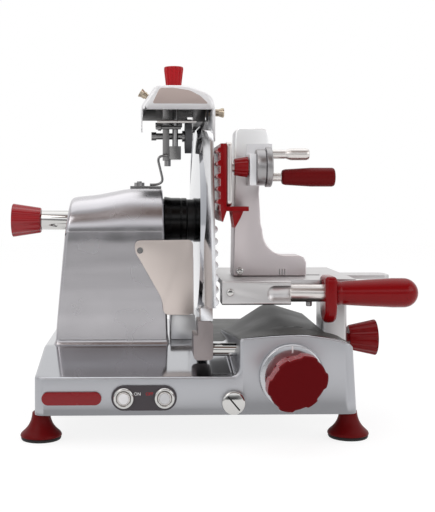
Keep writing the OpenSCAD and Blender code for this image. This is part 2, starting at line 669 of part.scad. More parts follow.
module table() color("silver") difference() {
  union() {
    translate([table_x0, table_y0, table_z - plate_t]) cube([arm_x1 - table_x0, table_d, plate_t]);
    yz(table_x0, 157) rsq(18, table_z - bar_h, 52, table_z, 3);
    translate([157, 32, table_z - plate_t]) cube([guard_x0 - 159, 10, plate_t]);
    translate([0, 0, table_z - 8]) linear_extrude(5) rsq(arm_x1 - 20, 125, 292, 165, 8);
  }
  translate([102, 89, table_z - 20]) cube([100, 12, 30]);
  xrod(scoop_x - 3, tube_x0 + 1, tube_y, tube_z, spigot_r);
  xrod(tube_x0, guard_x0, tube_y, tube_z, tube_r);
  xrod(scoop_x, tube_x0 + 2, 10, tube_z, scoop_r);
  translate([scoop_x, 10, tube_z]) sphere(scoop_r);
  translate([guard_x0, 30, table_z - 40]) cube([grip_x0 - guard_x0, tube_y - 11, 60]);
  yrod(17, 22, 91.5, table_z - 12.5, 2.5);
}

module handle_tube() color("gainsboro") {
  xrod(scoop_x - 3, tube_x0 + 1, tube_y, tube_z, spigot_r);
  difference() {
    xrod(tube_x0, tube_x1, tube_y, tube_z, tube_r);
    xrod(tube_x0 + 4, tube_x1 + 1, tube_y, tube_z, tube_r - 2.5);
  }
}

module hand_guard() color("darkred") difference() {
  union() {
    yz(guard_x0, grip_x0) polygon([[tube_y - 19, table_z + 5], [tube_y + 19, table_z + 5],
      [tube_y + 19, table_z - 20],
      [tube_y + 12.9, table_z - 36], [tube_y - 12.9, table_z - 36], [tube_y - 19, table_z - 20]]);
    xrod(guard_x0, grip_x0, tube_y, table_z - 33, 13.4);
  }
  xrod(guard_x0 - 2, grip_x0 + 3, tube_y, tube_z, tube_r);
}

module grip() color("darkred") difference() {
  xturn(tube_y, tube_z) polygon(concat([[0, grip_x0], [13.2, grip_x0], [13.2, grip_x0 + 4],
    [12.6, grip_x0 + 6], [grip_r, grip_x1 - grip_r]],
    [for (a = [6 : 6 : 90]) [grip_r * cos(a), grip_x1 - grip_r + grip_r * sin(a)]]));
  xrod(grip_x0 - 1, tube_x1, tube_y, tube_z, tube_r);
}

module column() color("silver") difference() {
  union() {
    xz(col_y0, col_y1) polygon(concat([[100, col_z0], [102.4, col_z1 - 5], [104, col_z1 - 1.6], [106, col_z1],
      [134, col_z1], [138, col_z1 - 2], [140, col_z1 - 8], [140, col_z1 - 20], [136, col_z1 - 40],
      [130, col_z1 - 60], [129, col_z1 - 74], [131, col_z0 + 60]],
      [for (a = [180 : 9 : 270]) [160 + 27 * cos(a), col_z0 + 52 + 29 * sin(a)]],
      [[176, col_z0 + 23], [180.6, col_z0 + 21], [183, col_z0 + 15], [183, col_z0]]));
    translate([105, 89 + gap, table_z - plate_t - 2]) cube([34, 12 - 2 * gap, plate_t + 3]);
    translate([105, 84, table_z - plate_t - 8]) cube([34, 22, 8 - gap]);
  }
  translate([108, col_y0 + 8, col_z0 + 12]) cube([15, 60, column_h - 32]);
}

module clamp_block() color("lightgray") difference() {
  union() {
    translate([114, 32, push_z - 20]) cube([7, col_y0 - 32, 34]);
    translate([114, 69, push_z - 20]) cube([29, col_y0 - 69, 47]);
  }
  xrod(110, 130, push_y, push_z, 5);
}

module pusher_plate() color("darkred") {
  translate([push_x, 24, push_z - 43]) cube([push_t, 104, 68]);
  for (i = [0 : 4]) yrod(24, 128, push_x, push_z + 18 - 14 * i, tooth_r);
  translate([push_x + push_t, 24, push_z - 48]) cube([24, 42, 5]);
  translate([push_x, 24, push_z - 48]) cube([push_t, 104, 5]);
  for (i = [0 : 6]) xz(24 + 16 * i, 31 + 16 * i) translate([push_x, push_z])
    polygon([[0.6, -48], [push_t, -48], [2.6, -60], [1, -57]]);
  for (i = [0 : 2]) xz(26 + 15 * i, 33 + 15 * i) translate([push_x, push_z])
    polygon([[12.6, -48], [25, -48], [21.6, -56], [15.4, -67]]);
}

module backing_plate() color("gainsboro") {
  yz(push_x + push_t, push_x + push_t + 6) rsq(26, push_z - 43, 122, push_z + 27, 6);
  xrod(push_x + push_t + 5, disc_x1 - 1, push_y, push_z, 5);
}

module gripper_knob() color("darkred") difference() {
  flute_cone(97 + gap, 112.6, push_y, push_z, 9, 11.4, 10);
  xrod(95, 116, push_y, push_z, 5 + run_fit);
}

module crank_disc() color("lightgray") difference() {
  xturn(push_y, push_z) polygon([[5 + run_fit, 121 + gap], [19, 121 + gap], [19.7, 122.4],
    [19.7, disc_x1 - 7.4], [18.4, disc_x1 - 6.4], [22, disc_x1 - 6.4], [22, disc_x1 - 1], [21, disc_x1],
    [5 + run_fit, disc_x1]]);
  xrod(stem_x0, disc_x1 + 1, push_y, push_z - 11, 4.5);
  xrod(stem_x0 - 0.4, disc_x1 + 1, push_y, push_z + 14, 4 + run_fit);
}

module crank_handle() color("darkred") {
  xrod(stem_x0, 152, push_y, push_z - 11, 4.5);
  xturn(push_y, push_z - 11) polygon([[0, 150], [8, 150], [8.8, 152], [10.4, 180], [10.4, 206], [9.4, 208],
    [0, 208]]);
}

module lever_handle() color("gainsboro") xturn(push_y, push_z + 14)
  polygon([[0, stem_x0], [4, stem_x0], [4, disc_x1 + gap], [5, disc_x1 + gap], [5, 153], [6.6, 156],
    [6.6, 178], [5.4, 180], [0, 180]]);

place() base_casting();
place() bottom_cover();
place() feet();
place() foot_pads();
place() label_plate();
place() switch_panel();
place() button_bezels();
place() on_button();
place() off_button();
place() switch_body();
place() power_inlet();
place() rail();
place() rail_cap();
place() index_dial();
place() thickness_knob();
place() cam_spindle();
place() gauge_shaft();
place() gauge_block();
place() gauge_plate();
place() motor_housing();
place() motor_stator();
place() rotor();
place() drive_belt();
place() hub_sleeve();
place() bearings();
place() blade_spindle();
place() blade();
place() blade_screws();
place() blade_cover();
place() tie_rod();
place() tie_rod_knob();
place() blade_guard();
place() slice_deflector();
place() deflector_screws();
place() sharpener_frame();
place() sharpener_cover();
place() sharpener_panel();
place() sharpener_knob();
place() grind_spindle();
place() grind_stone();
place() left_push_knob();
place() right_push_knob();
place() deburr_stone();
place() latch_wire();
place() latch_plate();
place() trolley();
place() carriage_arm();
place() lock_knob();
place() table();
place() handle_tube();
place() hand_guard();
place() grip();
place() column();
place() clamp_block();
place() pusher_plate();
place() backing_plate();
place() gripper_knob();
place() crank_disc();
place() crank_handle();
place() lever_handle();
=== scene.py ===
"""Looks of an upright electric food slicer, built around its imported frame.

Drawing units are millimetres: X runs along the blade axis, Y away from the operator and Z up. The drawing is
tied to the frame by one corner of the base casting, and meshes are stored in metres in the frame's own axes.
"""

from __future__ import annotations

import json
import logging
import math
from dataclasses import dataclass
from enum import Enum
from functools import reduce
from typing import Callable, Optional, Sequence

import bmesh
import bpy
import numpy as np
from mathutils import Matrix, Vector

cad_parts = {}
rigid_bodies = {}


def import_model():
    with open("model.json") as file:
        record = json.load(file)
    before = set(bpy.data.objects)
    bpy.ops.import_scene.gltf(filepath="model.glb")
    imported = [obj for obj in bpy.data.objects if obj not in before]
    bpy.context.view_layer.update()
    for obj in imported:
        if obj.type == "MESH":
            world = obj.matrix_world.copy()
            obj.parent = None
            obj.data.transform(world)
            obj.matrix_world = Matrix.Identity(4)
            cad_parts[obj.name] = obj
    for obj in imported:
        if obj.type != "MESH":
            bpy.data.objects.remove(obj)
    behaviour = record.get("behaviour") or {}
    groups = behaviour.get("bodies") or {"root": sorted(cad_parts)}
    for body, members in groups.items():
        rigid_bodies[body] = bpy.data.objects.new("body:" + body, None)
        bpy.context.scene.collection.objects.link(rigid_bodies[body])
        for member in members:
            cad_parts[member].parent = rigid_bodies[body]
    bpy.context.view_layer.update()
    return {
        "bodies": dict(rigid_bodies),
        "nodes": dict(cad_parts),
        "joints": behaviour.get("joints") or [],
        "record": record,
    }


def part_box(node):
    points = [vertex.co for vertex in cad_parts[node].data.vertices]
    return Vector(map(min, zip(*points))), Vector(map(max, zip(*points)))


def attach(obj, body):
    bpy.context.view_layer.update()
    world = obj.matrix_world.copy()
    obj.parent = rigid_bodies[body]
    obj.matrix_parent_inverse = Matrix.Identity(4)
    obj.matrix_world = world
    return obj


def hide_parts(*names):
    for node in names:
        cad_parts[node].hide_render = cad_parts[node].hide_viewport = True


LOG = logging.getLogger("slicer")
MM = 0.001
IMAGE_W, IMAGE_H = 435, 512
# Places in the drawing: a corner of the base, the axes of the blade and the dial, the table's top, the lower edge of
# the sharpener's cover and the pusher's axis.
BASE_CORNER = np.array([-117.0, 0.0, 37.0])
AXIS_Y, AXIS_Z = 190.0, 238.0
DIAL_X, DIAL_Z = 155.0, 77.7
TABLE_Z = 177.0
COVER_Z = 371.5
PUSH_Y, PUSH_Z = 42.0, 300.0
# Distances in metres: points this close in a new piece or in a copied solid become one, and shorter edges go.
MERGE, COPY_MERGE, SHORTEST = 4e-6, 3e-6, 1e-6
# A turn below which faces of a copied solid count as flat, the least turn of a bevelled edge, and its segments.
FLAT_DEG, BEVEL_DEG, BEVEL_STEPS = 0.5, 38.0, 3
# Distance in millimetres that tells two points of a path apart, and a length that keeps a division safe.
APART, TINY = 1e-6, 1e-12
# Share of a side that one rounded corner may take, and the points on its curve.
CORNER_SHARE, CORNER_STEPS = 0.48, 7
QUARTER, ROUND = math.pi / 2, 2 * math.pi

Points = Sequence[Sequence[float]]
Socket = bpy.types.NodeSocket


class Axis(Enum):
    """Axis along which an outline is carried, or round which a profile is turned.

    The value gives where the two cross coordinates and the station go in X, Y, Z.
    """

    X = (1, 2, 0)
    Y = (0, 2, 1)
    Z = (0, 1, 2)

    def placed(self, first: np.ndarray, second: np.ndarray, station: np.ndarray) -> np.ndarray:
        """Stacks two cross coordinates and a station as [x, y, z] points."""
        parts = np.broadcast_arrays(first, second, station)
        return np.stack([parts[self.value.index(k)] for k in range(3)], -1)


class Grain(Enum):
    """How a surface was made, which sets the pattern that its finish shows."""

    CAST = "cast"
    BRUSHED = "brushed"
    TURNED = "turned"
    MOULDED = "moulded"
    GRIT = "grit"


@dataclass
class Surface:
    """A mesh in the making.

    Attributes:
        verts: vertices in drawing millimetres, one row each.
        faces: faces as lists of vertex numbers.
    """

    verts: np.ndarray
    faces: list

    @classmethod
    def grid(cls, points: np.ndarray, wrap: bool = False, capped: bool = False) -> "Surface":
        """Joins a grid of points into quads.

        Args:
            points: [x, y, z] points in rows and columns.
            wrap: whether the last column joins the first.
            capped: whether one face closes the first row and another the last.

        Returns:
            The surface.
        """
        rows, cols = points.shape[:2]
        row = np.arange(rows - 1)[:, None] * cols
        here = np.arange(cols if wrap else cols - 1)[None, :]
        there = (here + 1) % cols
        corners = [row + here, row + there, row + cols + there, row + cols + here]
        faces = np.stack(corners, -1).reshape(-1, 4).tolist()
        if capped:
            faces += [list(range(cols))[::-1], list(range((rows - 1) * cols, rows * cols))]
        return cls(points.reshape(-1, 3), faces)

    def joined(self, other: "Surface") -> "Surface":
        """Returns this surface and another as one."""
        shifted = [[i + len(self.verts) for i in f] for f in other.faces]
        return Surface(np.concatenate([self.verts, other.verts]), list(self.faces) + shifted)

    def copies(self, offsets: Points) -> "Surface":
        """Returns one surface with a copy of this one moved to each offset."""
        moved = [Surface(self.verts + np.asarray(offset, float), self.faces) for offset in offsets]
        return reduce(Surface.joined, moved)


def rounded(points: Points, radius: float, closed: bool = True, steps: int = CORNER_STEPS) -> np.ndarray:
    """Outline whose corners are curves: each is a quadratic that starts and ends up to radius from the corner.

    Args:
        points: corners, one row each.
        radius: distance from a corner at which its curve starts.
        closed: whether the last corner joins the first; the ends of an open outline stay sharp.
        steps: points on each curve.

    Returns:
        The points of the softened outline.
    """
    p = np.asarray(points, float)
    back, ahead = np.roll(p, 1, 0) - p, np.roll(p, -1, 0) - p
    back_len, ahead_len = (np.linalg.norm(v, axis=1, keepdims=True) + TINY for v in (back, ahead))
    reach = np.full((len(p), 1), radius)
    if not closed:
        reach[[0, -1]] = 0.0
    a = p + back / back_len * np.minimum(reach, CORNER_SHARE * back_len)
    b = p + ahead / ahead_len * np.minimum(reach, CORNER_SHARE * ahead_len)
    s = np.linspace(0, 1, steps)[None, :, None]
    return ((1 - s) ** 2 * a[:, None] + 2 * s * (1 - s) * p[:, None] + s**2 * b[:, None]).reshape(-1, 2)


def smooth_line(x: np.ndarray, points: Points, blur: float) -> np.ndarray:
    """Height of a line through points at x, averaged over blur to each side so that its corners are soft.

    Args:
        x: places at which the height is wanted.
        points: [x, height] corners of the line.
        blur: half width of the average.

    Returns:
        Heights of the same shape as x.
    """
    line = np.asarray(points, float)
    spread = np.linspace(-blur, blur, 9)
    return np.interp(np.asarray(x, float)[..., None] + spread, line[:, 0], line[:, 1]).mean(-1)


def unit(vectors: np.ndarray) -> np.ndarray:
    """Vectors of length 1 that point where the given rows point."""
    return vectors / (np.linalg.norm(vectors, axis=1, keepdims=True) + TINY)


def distinct(path: np.ndarray) -> np.ndarray:
    """A path without the points that repeat the one before them."""
    return path[np.concatenate([[True], np.linalg.norm(np.diff(path, axis=0), axis=1) > APART])]


def prism(outline: np.ndarray, axis: Axis, lo: float, hi: float, edge: float, steps: int = 4) -> Surface:
    """Outline carried along an axis from lo to hi, drawn in by a quarter circle of radius edge at both faces.

    Args:
        outline: closed outline across the axis, anticlockwise.
        axis: direction in which it is carried.
        lo: station of the first face.
        hi: station of the second face.
        edge: radius of the rounded edges.
        steps: quads across a rounded edge.

    Returns:
        The closed surface.
    """
    tangent = unit(np.roll(outline, -1, 0) - np.roll(outline, 1, 0))
    normal = np.stack([tangent[:, 1], -tangent[:, 0]], -1)
    phi = np.linspace(0, QUARTER, steps + 1)
    inset, drop = edge * (1 - np.sin(phi)), edge * (1 - np.cos(phi))
    inset = np.concatenate([inset, inset[::-1]])
    depth = np.concatenate([lo + drop, hi - drop[::-1]])
    ring = outline - normal * inset[:, None, None]
    return Surface.grid(axis.placed(ring[..., 0], ring[..., 1], depth[:, None]), wrap=True, capped=True)


def stadium(a0: float, a1: float, b0: float, b1: float, steps: int = 24) -> np.ndarray:
    """Flat outline with round ends: two half circles as high as b0 to b1, joined by straight sides.

    Args:
        a0: left end.
        a1: right end.
        b0: lower side.
        b1: upper side.
        steps: points on each half circle.

    Returns:
        The points of the outline, anticlockwise.
    """
    r, mid = (b1 - b0) / 2, (b0 + b1) / 2
    t = np.linspace(-QUARTER, QUARTER, steps)
    right = np.stack([a1 - r + r * np.cos(t), mid + r * np.sin(t)], -1)
    left = np.stack([a0 + r - r * np.cos(t), mid - r * np.sin(t)], -1)
    return np.concatenate([right, left])


Flute = Callable[[np.ndarray, np.ndarray, np.ndarray], np.ndarray]


def turned(corners: Points, soft: float, axis: Axis, at: Sequence[float], turns: int = 96,
           flute: Optional[Flute] = None, steps: int = CORNER_STEPS) -> Surface:
    """Profile of [radius, station] points carried round an axis.

    Args:
        corners: corners of the profile in order.
        soft: distance from a corner at which its curve starts; 0 leaves the corners as they are.
        axis: direction of the axis.
        at: the axis's two cross coordinates.
        turns: points round the axis.
        flute: radius of a point as a function of its angle, its station and the profile's radius.
        steps: points on the curve of a corner.

    Returns:
        The surface, with its poles still open until doubles are merged.
    """
    profile = rounded(corners, soft, closed=False, steps=steps) if soft else np.asarray(corners, float)
    angle = np.linspace(0, ROUND, turns, endpoint=False)[None, :]
    radius, station = profile[:, :1] + 0 * angle, profile[:, 1:] + 0 * angle
    if flute:
        radius = flute(angle, station, radius)
    first, second = at[0] + radius * np.cos(angle), at[1] + radius * np.sin(angle)
    return Surface.grid(axis.placed(first, second, station), wrap=True)


def flutes(count: int, depth: float, lo: float, hi: float) -> Flute:
    """Shallow grooves between two stations.

    Args:
        count: number of grooves.
        depth: share of the radius that a groove takes.
        lo: station where the grooves start.
        hi: station where they end.

    Returns:
        The radius as a function of angle, station and the profile's radius.
    """
    def grooved(angle: np.ndarray, station: np.ndarray, radius: np.ndarray) -> np.ndarray:
        """A groove is a squared raised cosine."""
        inside = ((station > lo) & (station < hi)).astype(float)
        return radius * (1 - depth * inside * (0.5 + 0.5 * np.cos(count * angle)) ** 2)
    return grooved


def wire(path: np.ndarray, y: float, radius: float, sides: int = 16) -> Surface:
    """Round wire along a path in an XZ plane: a circle in the path's normal and Y, with a flat cap at each end.

    Args:
        path: [x, z] points of the path.
        y: depth of its plane.
        radius: the wire's radius.
        sides: points round the wire.

    Returns:
        The closed surface.
    """
    tangent = unit(np.gradient(path, axis=0))
    a = np.linspace(0, ROUND, sides, endpoint=False)[None, :]
    x = path[:, :1] - tangent[:, 1:] * radius * np.cos(a)
    z = path[:, 1:] + tangent[:, :1] * radius * np.cos(a)
    return Surface.grid(Axis.Y.placed(x, z, y + radius * np.sin(a)), wrap=True, capped=True)


def linear(code: str) -> tuple:
    """Turns an sRGB hex colour into linear light.

    Args:
        code: colour such as '#a0b0c0'.

    Returns:
        Linear RGBA.
    """
    srgb = np.array([int(code[i:i + 2], 16) for i in (1, 3, 5)]) / 255
    rgb = np.where(srgb <= 0.04045, srgb / 12.92, ((srgb + 0.055) / 1.055) ** 2.4)
    return (*rgb.tolist(), 1.0)


def add(tree: bpy.types.NodeTree, kind: str, links: Optional[dict] = None, **settings: object) -> bpy.types.Node:
    """Adds a node to a tree.

    Args:
        tree: node tree.
        kind: Blender's name of the node type.
        links: socket name or number to a value or to an output socket.
        settings: the node's own properties.

    Returns:
        The node.
    """
    node = tree.nodes.new(kind)
    for key, value in settings.items():
        setattr(node, key, value)
    for key, value in (links or {}).items():
        socket = node.inputs[key]
        if isinstance(value, bpy.types.NodeSocket):
            tree.links.new(value, socket)
        else:
            socket.default_value = value
    return node


def facing(tree: bpy.types.NodeTree, span: Sequence[float]) -> Socket:
    """How far a face looks up or down.

    Args:
        tree: node tree.
        span: heights of the face's normal at which the share is 0 and 1.

    Returns:
        The share's output.
    """
    normal = add(tree, "ShaderNodeNewGeometry").outputs["Normal"]
    up = add(tree, "ShaderNodeSeparateXYZ", {0: normal}).outputs[2]
    return add(tree, "ShaderNodeMapRange", {0: up, 1: span[0], 2: span[1]}).outputs[0]


# Spacing in millimetres of the mottle and of grinding waves, and how far a wave is drawn out along X and Y.
MOTTLE_MM, WAVE_MM, WAVE_STRETCH = 45.0, 26.0, (0.05, 0.2, 1.0)
# Heights of a normal over which a face comes to look down, or up.
LOOKS_DOWN, LOOKS_UP = (-0.4, -0.8), (0.5, 0.95)
# The part of the mottle that moves the roughness, the least roughness, and the strength of the fine relief.
SMUDGE_SPAN, LEAST_ROUGH, RELIEF = (0.2, 0.8), 0.02, 0.6


@dataclass(frozen=True)
class Finish:
    """A real surface and how it was made.

    Attributes:
        name: material and process, as a maker would say it.
        colour: sRGB hex colour.
        metallic: 1 for bare metal.
        roughness: mean roughness.
        grain: pattern that the process leaves.
        grain_mm: size of that pattern.
        relief_mm: depth of that pattern.
        mottle: share by which the colour wanders over a hand's breadth.
        smudge: amount by which the roughness wanders.
        along: direction of brushing, or the axis of turning marks, as a stretch of X, Y, Z.
        centre: a point on the axis of turning marks, in drawing millimetres.
        polish: roughness of faces that look up, where they were buffed.
        under: share of the colour left on faces that look down, darkened as painted shade.
        gloss: strength of the surface reflection of a plastic.
        wave_mm: depth of the long level waves that grinding by hand leaves.
        fade: two heights in the drawing and the share by which the colour lightens from one to the other, as painted
            light from above.
    """

    name: str
    colour: str
    metallic: float
    roughness: float
    grain: Grain
    grain_mm: float
    relief_mm: float
    mottle: float = 0.04
    smudge: float = 0.05
    along: tuple = (1.0, 1.0, 1.0)
    centre: tuple = (0.0, 0.0, 0.0)
    polish: Optional[float] = None
    under: float = 1.0
    gloss: float = 0.5
    wave_mm: float = 0.0
    fade: Optional[tuple] = None

    def tint(self, share: float) -> tuple:
        """Linear RGBA of the colour, lightened or darkened by a share."""
        return (*np.clip(np.array(linear(self.colour)[:3]) * share, 0, 1).tolist(), 1.0)

    def material(self, drawing: "Drawing") -> bpy.types.Material:
        """Builds the node material.

        Args:
            drawing: where drawing points lie in the frame.

        Returns:
            The material.
        """
        made = bpy.data.materials.new(self.name)
        made.use_nodes = True
        tree = made.node_tree
        shader = tree.nodes["Principled BSDF"]
        place = add(tree, "ShaderNodeTexCoord").outputs["Object"]
        links = {"Vector": place, "Scale": 1 / (MOTTLE_MM * MM), "Detail": 3.0}
        broad = add(tree, "ShaderNodeTexNoise", links).outputs[0]
        relief = {"Height": self.pattern(tree, place, drawing), "Distance": self.relief_mm * MM, "Strength": RELIEF}
        if self.wave_mm:
            level = add(tree, "ShaderNodeMapping", {"Vector": place, "Scale": WAVE_STRETCH}).outputs[0]
            swell = add(tree, "ShaderNodeTexNoise", {"Vector": level, "Scale": 1 / (WAVE_MM * MM), "Detail": 1.0})
            wave = add(tree, "ShaderNodeBump", {"Height": swell.outputs[0], "Distance": self.wave_mm * MM})
            relief["Normal"] = wave.outputs[0]
        tree.links.new(self.tone(tree, place, broad, drawing), shader.inputs["Base Color"])
        tree.links.new(self.shine(tree, broad), shader.inputs["Roughness"])
        tree.links.new(add(tree, "ShaderNodeBump", relief).outputs[0], shader.inputs["Normal"])
        shader.inputs["Metallic"].default_value = self.metallic
        shader.inputs["Specular IOR Level"].default_value = self.gloss
        return made

    def tone(self, tree: bpy.types.NodeTree, place: Socket, broad: Socket, drawing: "Drawing") -> Socket:
        """Colour that wanders with the mottle, darkens on faces that look down as painted shade, and lightens with
        height as painted light.

        Args:
            tree: the material's node tree.
            place: Object coordinates.
            broad: the mottle.
            drawing: where drawing points lie in the frame.

        Returns:
            The colour output.
        """
        layers = [(broad, 1 + self.mottle)]
        # Faces that look down are darkened: painted shade.
        if self.under < 1.0:
            layers.append((facing(tree, LOOKS_DOWN), self.under))
        # The colour lightens with height: painted light from above.
        if self.fade:
            start, end, share = self.fade
            lo, hi = drawing.row([(0, 0, start), (0, 0, end)])[:, 2].tolist()
            tall = add(tree, "ShaderNodeSeparateXYZ", {0: place}).outputs[2]
            layers.append((add(tree, "ShaderNodeMapRange", {0: tall, 1: lo, 2: hi}).outputs[0], share))
        colour = self.tint(1 - self.mottle)
        for over, share in layers:
            links = {0: over, 6: colour, 7: self.tint(share)}
            colour = add(tree, "ShaderNodeMix", links, data_type="RGBA").outputs[2]
        return colour

    def shine(self, tree: bpy.types.NodeTree, broad: Socket) -> Socket:
        """Roughness that wanders with the mottle and falls where faces that look up were buffed.

        Args:
            tree: the material's node tree.
            broad: the mottle.

        Returns:
            The roughness output.
        """
        lo, hi = max(self.roughness - self.smudge, LEAST_ROUGH), self.roughness + self.smudge
        links = dict(enumerate((broad, *SMUDGE_SPAN, lo, hi)))
        rough = add(tree, "ShaderNodeMapRange", links, interpolation_type="SMOOTHSTEP").outputs[0]
        if self.polish is None:
            return rough
        return add(tree, "ShaderNodeMix", {0: facing(tree, LOOKS_UP), 2: rough, 3: self.polish}).outputs[0]

    def pattern(self, tree: bpy.types.NodeTree, place: Socket, drawing: "Drawing") -> Socket:
        """Height of the fine pattern: noise of the grain's size, drawn out along the brush or read off the radius.

        Args:
            tree: the material's node tree.
            place: Object coordinates.
            drawing: where drawing points lie in the frame.

        Returns:
            The height output.
        """
        per_metre = 1 / (self.grain_mm * MM)
        if self.grain is Grain.TURNED:
            back = (-drawing.row([self.centre])[0]).tolist()
            moved = add(tree, "ShaderNodeMapping", {"Vector": place, "Location": back}).outputs[0]
            across = add(tree, "ShaderNodeVectorMath", {0: moved, 1: self.along}, operation="MULTIPLY").outputs[0]
            reach = add(tree, "ShaderNodeVectorMath", {0: across}, operation="LENGTH").outputs["Value"]
            links = {"W": reach, "Scale": per_metre}
            return add(tree, "ShaderNodeTexNoise", links, noise_dimensions="1D").outputs[0]
        stretched = add(tree, "ShaderNodeMapping", {"Vector": place, "Scale": self.along}).outputs[0]
        links = {"Vector": stretched, "Scale": per_metre, "Detail": 6.0 if self.grain is Grain.GRIT else 2.0}
        return add(tree, "ShaderNodeTexNoise", links).outputs[0]


# Grain is drawn coarser than real brush marks, turning marks, cast skin and grit, which would be too fine to show.
# Sand-cast aluminium, ground and tumbled: soft even grey, with the deck buffed to a mirror.
CAST = Finish("tumbled_cast_aluminium", "#b4b5b9", 1.0, 0.44, Grain.CAST, 0.9, 0.010, 0.02, 0.04, polish=0.09)
# Under the table and behind the blade the casting is drawn dark, grey and dull: painted shade where the table hangs
# over it.
SHADED_CAST = Finish("cast_aluminium_painted_shade", "#4c4c4a", 0.0, 0.40, Grain.CAST, 1.4, 0.012, 0.10, 0.05, gloss=0.14)
# The housing is ground along X, which leaves faint level bands. Its colour lightens towards the top as painted light.
GROUND = Finish("ground_cast_aluminium", "#bab8bb", 1.0, 0.25, Grain.BRUSHED, 2.4, 0.006, 0.03, 0.05,
                along=(0.04, 1.0, 1.0), wave_mm=0.5, fade=(250.0, 262.0, 1.2))
# The column is ground on a belt and a little warmer, and its colour lightens towards the top as painted light.
COLUMN = Finish("belt_ground_aluminium", "#d0c8c9", 1.0, 0.40, Grain.BRUSHED, 1.8, 0.008, 0.03, 0.04,
                along=(1.0, 1.0, 0.05), fade=(268.0, 314.0, 1.75))
# Satin aluminium table, darkened below as painted shade.
TABLE = Finish("satin_aluminium_table", "#cdcbcb", 1.0, 0.40, Grain.BRUSHED, 1.6, 0.006, 0.02, 0.04,
               along=(1.0, 0.05, 1.0), under=0.16)
# Polished aluminium plate.
PLATE = Finish("polished_aluminium_plate", "#e2e2e3", 1.0, 0.30, Grain.BRUSHED, 1.6, 0.005, 0.02, 0.04,
               along=(1.0, 0.05, 1.0))
# Drawn and satin-polished steel.
SATIN = Finish("satin_steel", "#dad6d3", 1.0, 0.32, Grain.BRUSHED, 0.7, 0.004, 0.02, 0.04, along=(0.05, 1.0, 1.0))
# Milled gauge block, darker and a little warm.
MILLED = Finish("milled_aluminium_block", "#958d8d", 1.0, 0.38, Grain.BRUSHED, 1.4, 0.006, 0.04, 0.04,
                along=(1.0, 1.0, 0.05))
# Pressed cover, pearl-anodised and pale.
COVER = Finish("pearl_anodised_cover", "#efeff0", 0.2, 0.36, Grain.CAST, 1.2, 0.005, 0.02, 0.04)
# Buffed aluminium of the gauge plate.
BUFFED = Finish("buffed_aluminium", "#dcdcde", 1.0, 0.24, Grain.BRUSHED, 1.2, 0.004, 0.02, 0.03,
                along=(1.0, 1.0, 0.05))
# Clear-anodised aluminium: duller and greyer.
ANODISED = Finish("anodised_aluminium", "#a2a0a1", 1.0, 0.34, Grain.TURNED, 0.8, 0.006, 0.03, 0.04,
                  along=(0.0, 1.0, 1.0), centre=(0.0, PUSH_Y, PUSH_Z))
# Bead-blasted aluminium: pale and matt.
BLASTED = Finish("bead_blasted_aluminium", "#eeeff1", 0.4, 0.55, Grain.CAST, 0.5, 0.01, 0.02, 0.04)
# Hollow-ground blade steel with fine rings from its polishing wheel.
BLADE_STEEL = Finish("polished_blade_steel", "#c4c5c9", 1.0, 0.10, Grain.TURNED, 1.2, 0.004, 0.02, 0.02,
                     along=(0.0, 1.0, 1.0), centre=(0.0, AXIS_Y, AXIS_Z))
# Index disc, faced on a lathe: rings about its own axis.
DIAL_STEEL = Finish("faced_index_disc", "#bfc0c3", 1.0, 0.28, Grain.TURNED, 0.9, 0.012, 0.02, 0.03,
                    along=(1.0, 0.0, 1.0), centre=(DIAL_X, 0.0, DIAL_Z))
# Stainless sheet with a warm brush.
SHEET = Finish("brushed_stainless_sheet", "#dcd1cb", 1.0, 0.36, Grain.BRUSHED, 0.8, 0.006, 0.03, 0.04,
               along=(1.0, 1.0, 0.04))
# The sharpener's panel: the same sheet, brushed level and darker.
PANEL_SHEET = Finish("brushed_stainless_panel", "#c3b3ad", 1.0, 0.40, Grain.BRUSHED, 0.8, 0.008, 0.03, 0.04,
                     along=(0.04, 1.0, 1.0))
# Machined steel, lightly oiled.
DARK_STEEL = Finish("machined_steel", "#8d8c8c", 1.0, 0.28, Grain.CAST, 0.8, 0.01, 0.08, 0.06)
# Nickel plate with a warm cast.
NICKEL = Finish("warm_nickel_plate", "#b3a694", 1.0, 0.2, Grain.CAST, 4.0, 0.004, 0.03, 0.03)
# Chrome plate: almost a mirror.
CHROME = Finish("bright_chrome_plate", "#c8c7c5", 1.0, 0.08, Grain.CAST, 6.0, 0.003, 0.01, 0.02)
# Phenolic knobs, moulded in steel dies: deep crimson.
RED = Finish("moulded_crimson_phenolic", "#82060c", 0.0, 0.22, Grain.MOULDED, 3.0, 0.006, 0.06, 0.04, gloss=0.2)
# The knob on top of the sharpener, its red lightened as painted light from above, and the red of the printed word.
RED_LIT_AND_PRINT = Finish("crimson_phenolic_lit_and_print", "#b4141d", 0.0, 0.3, Grain.MOULDED, 3.0, 0.008, 0.06, 0.04, gloss=0.25)
# The thickness knob's face: the same plastic, left matt, and its red darkened almost to brown as painted shade.
RED_SHADED_MATT = Finish("matt_crimson_phenolic_shaded", "#60040a", 0.0, 0.45, Grain.MOULDED, 2.0, 0.010, 0.06, 0.04, gloss=0.08)
# The sides of the thickness knob and the tie rod's cone are polished, with sharp reflections; their brighter red is
# painted light.
RED_LIT_POLISHED = Finish("polished_crimson_phenolic_lit", "#9a1019", 0.0, 0.16, Grain.MOULDED, 3.0, 0.006, 0.06, 0.03)
# Feet: a darker, less bright red. The crank handle gets the same red as painted shade, since it stands in shadow.
RED_DARK_AND_SHADED = Finish("dark_red_foot_and_shaded_crank", "#66080b", 0.0, 0.42, Grain.MOULDED, 1.2, 0.010, 0.06, 0.05, gloss=0.12)
# Stove-enamelled plate.
RED_PLATE = Finish("red_enamel_plate", "#840a14", 0.0, 0.25, Grain.MOULDED, 2.0, 0.006, 0.04, 0.03, gloss=0.4)
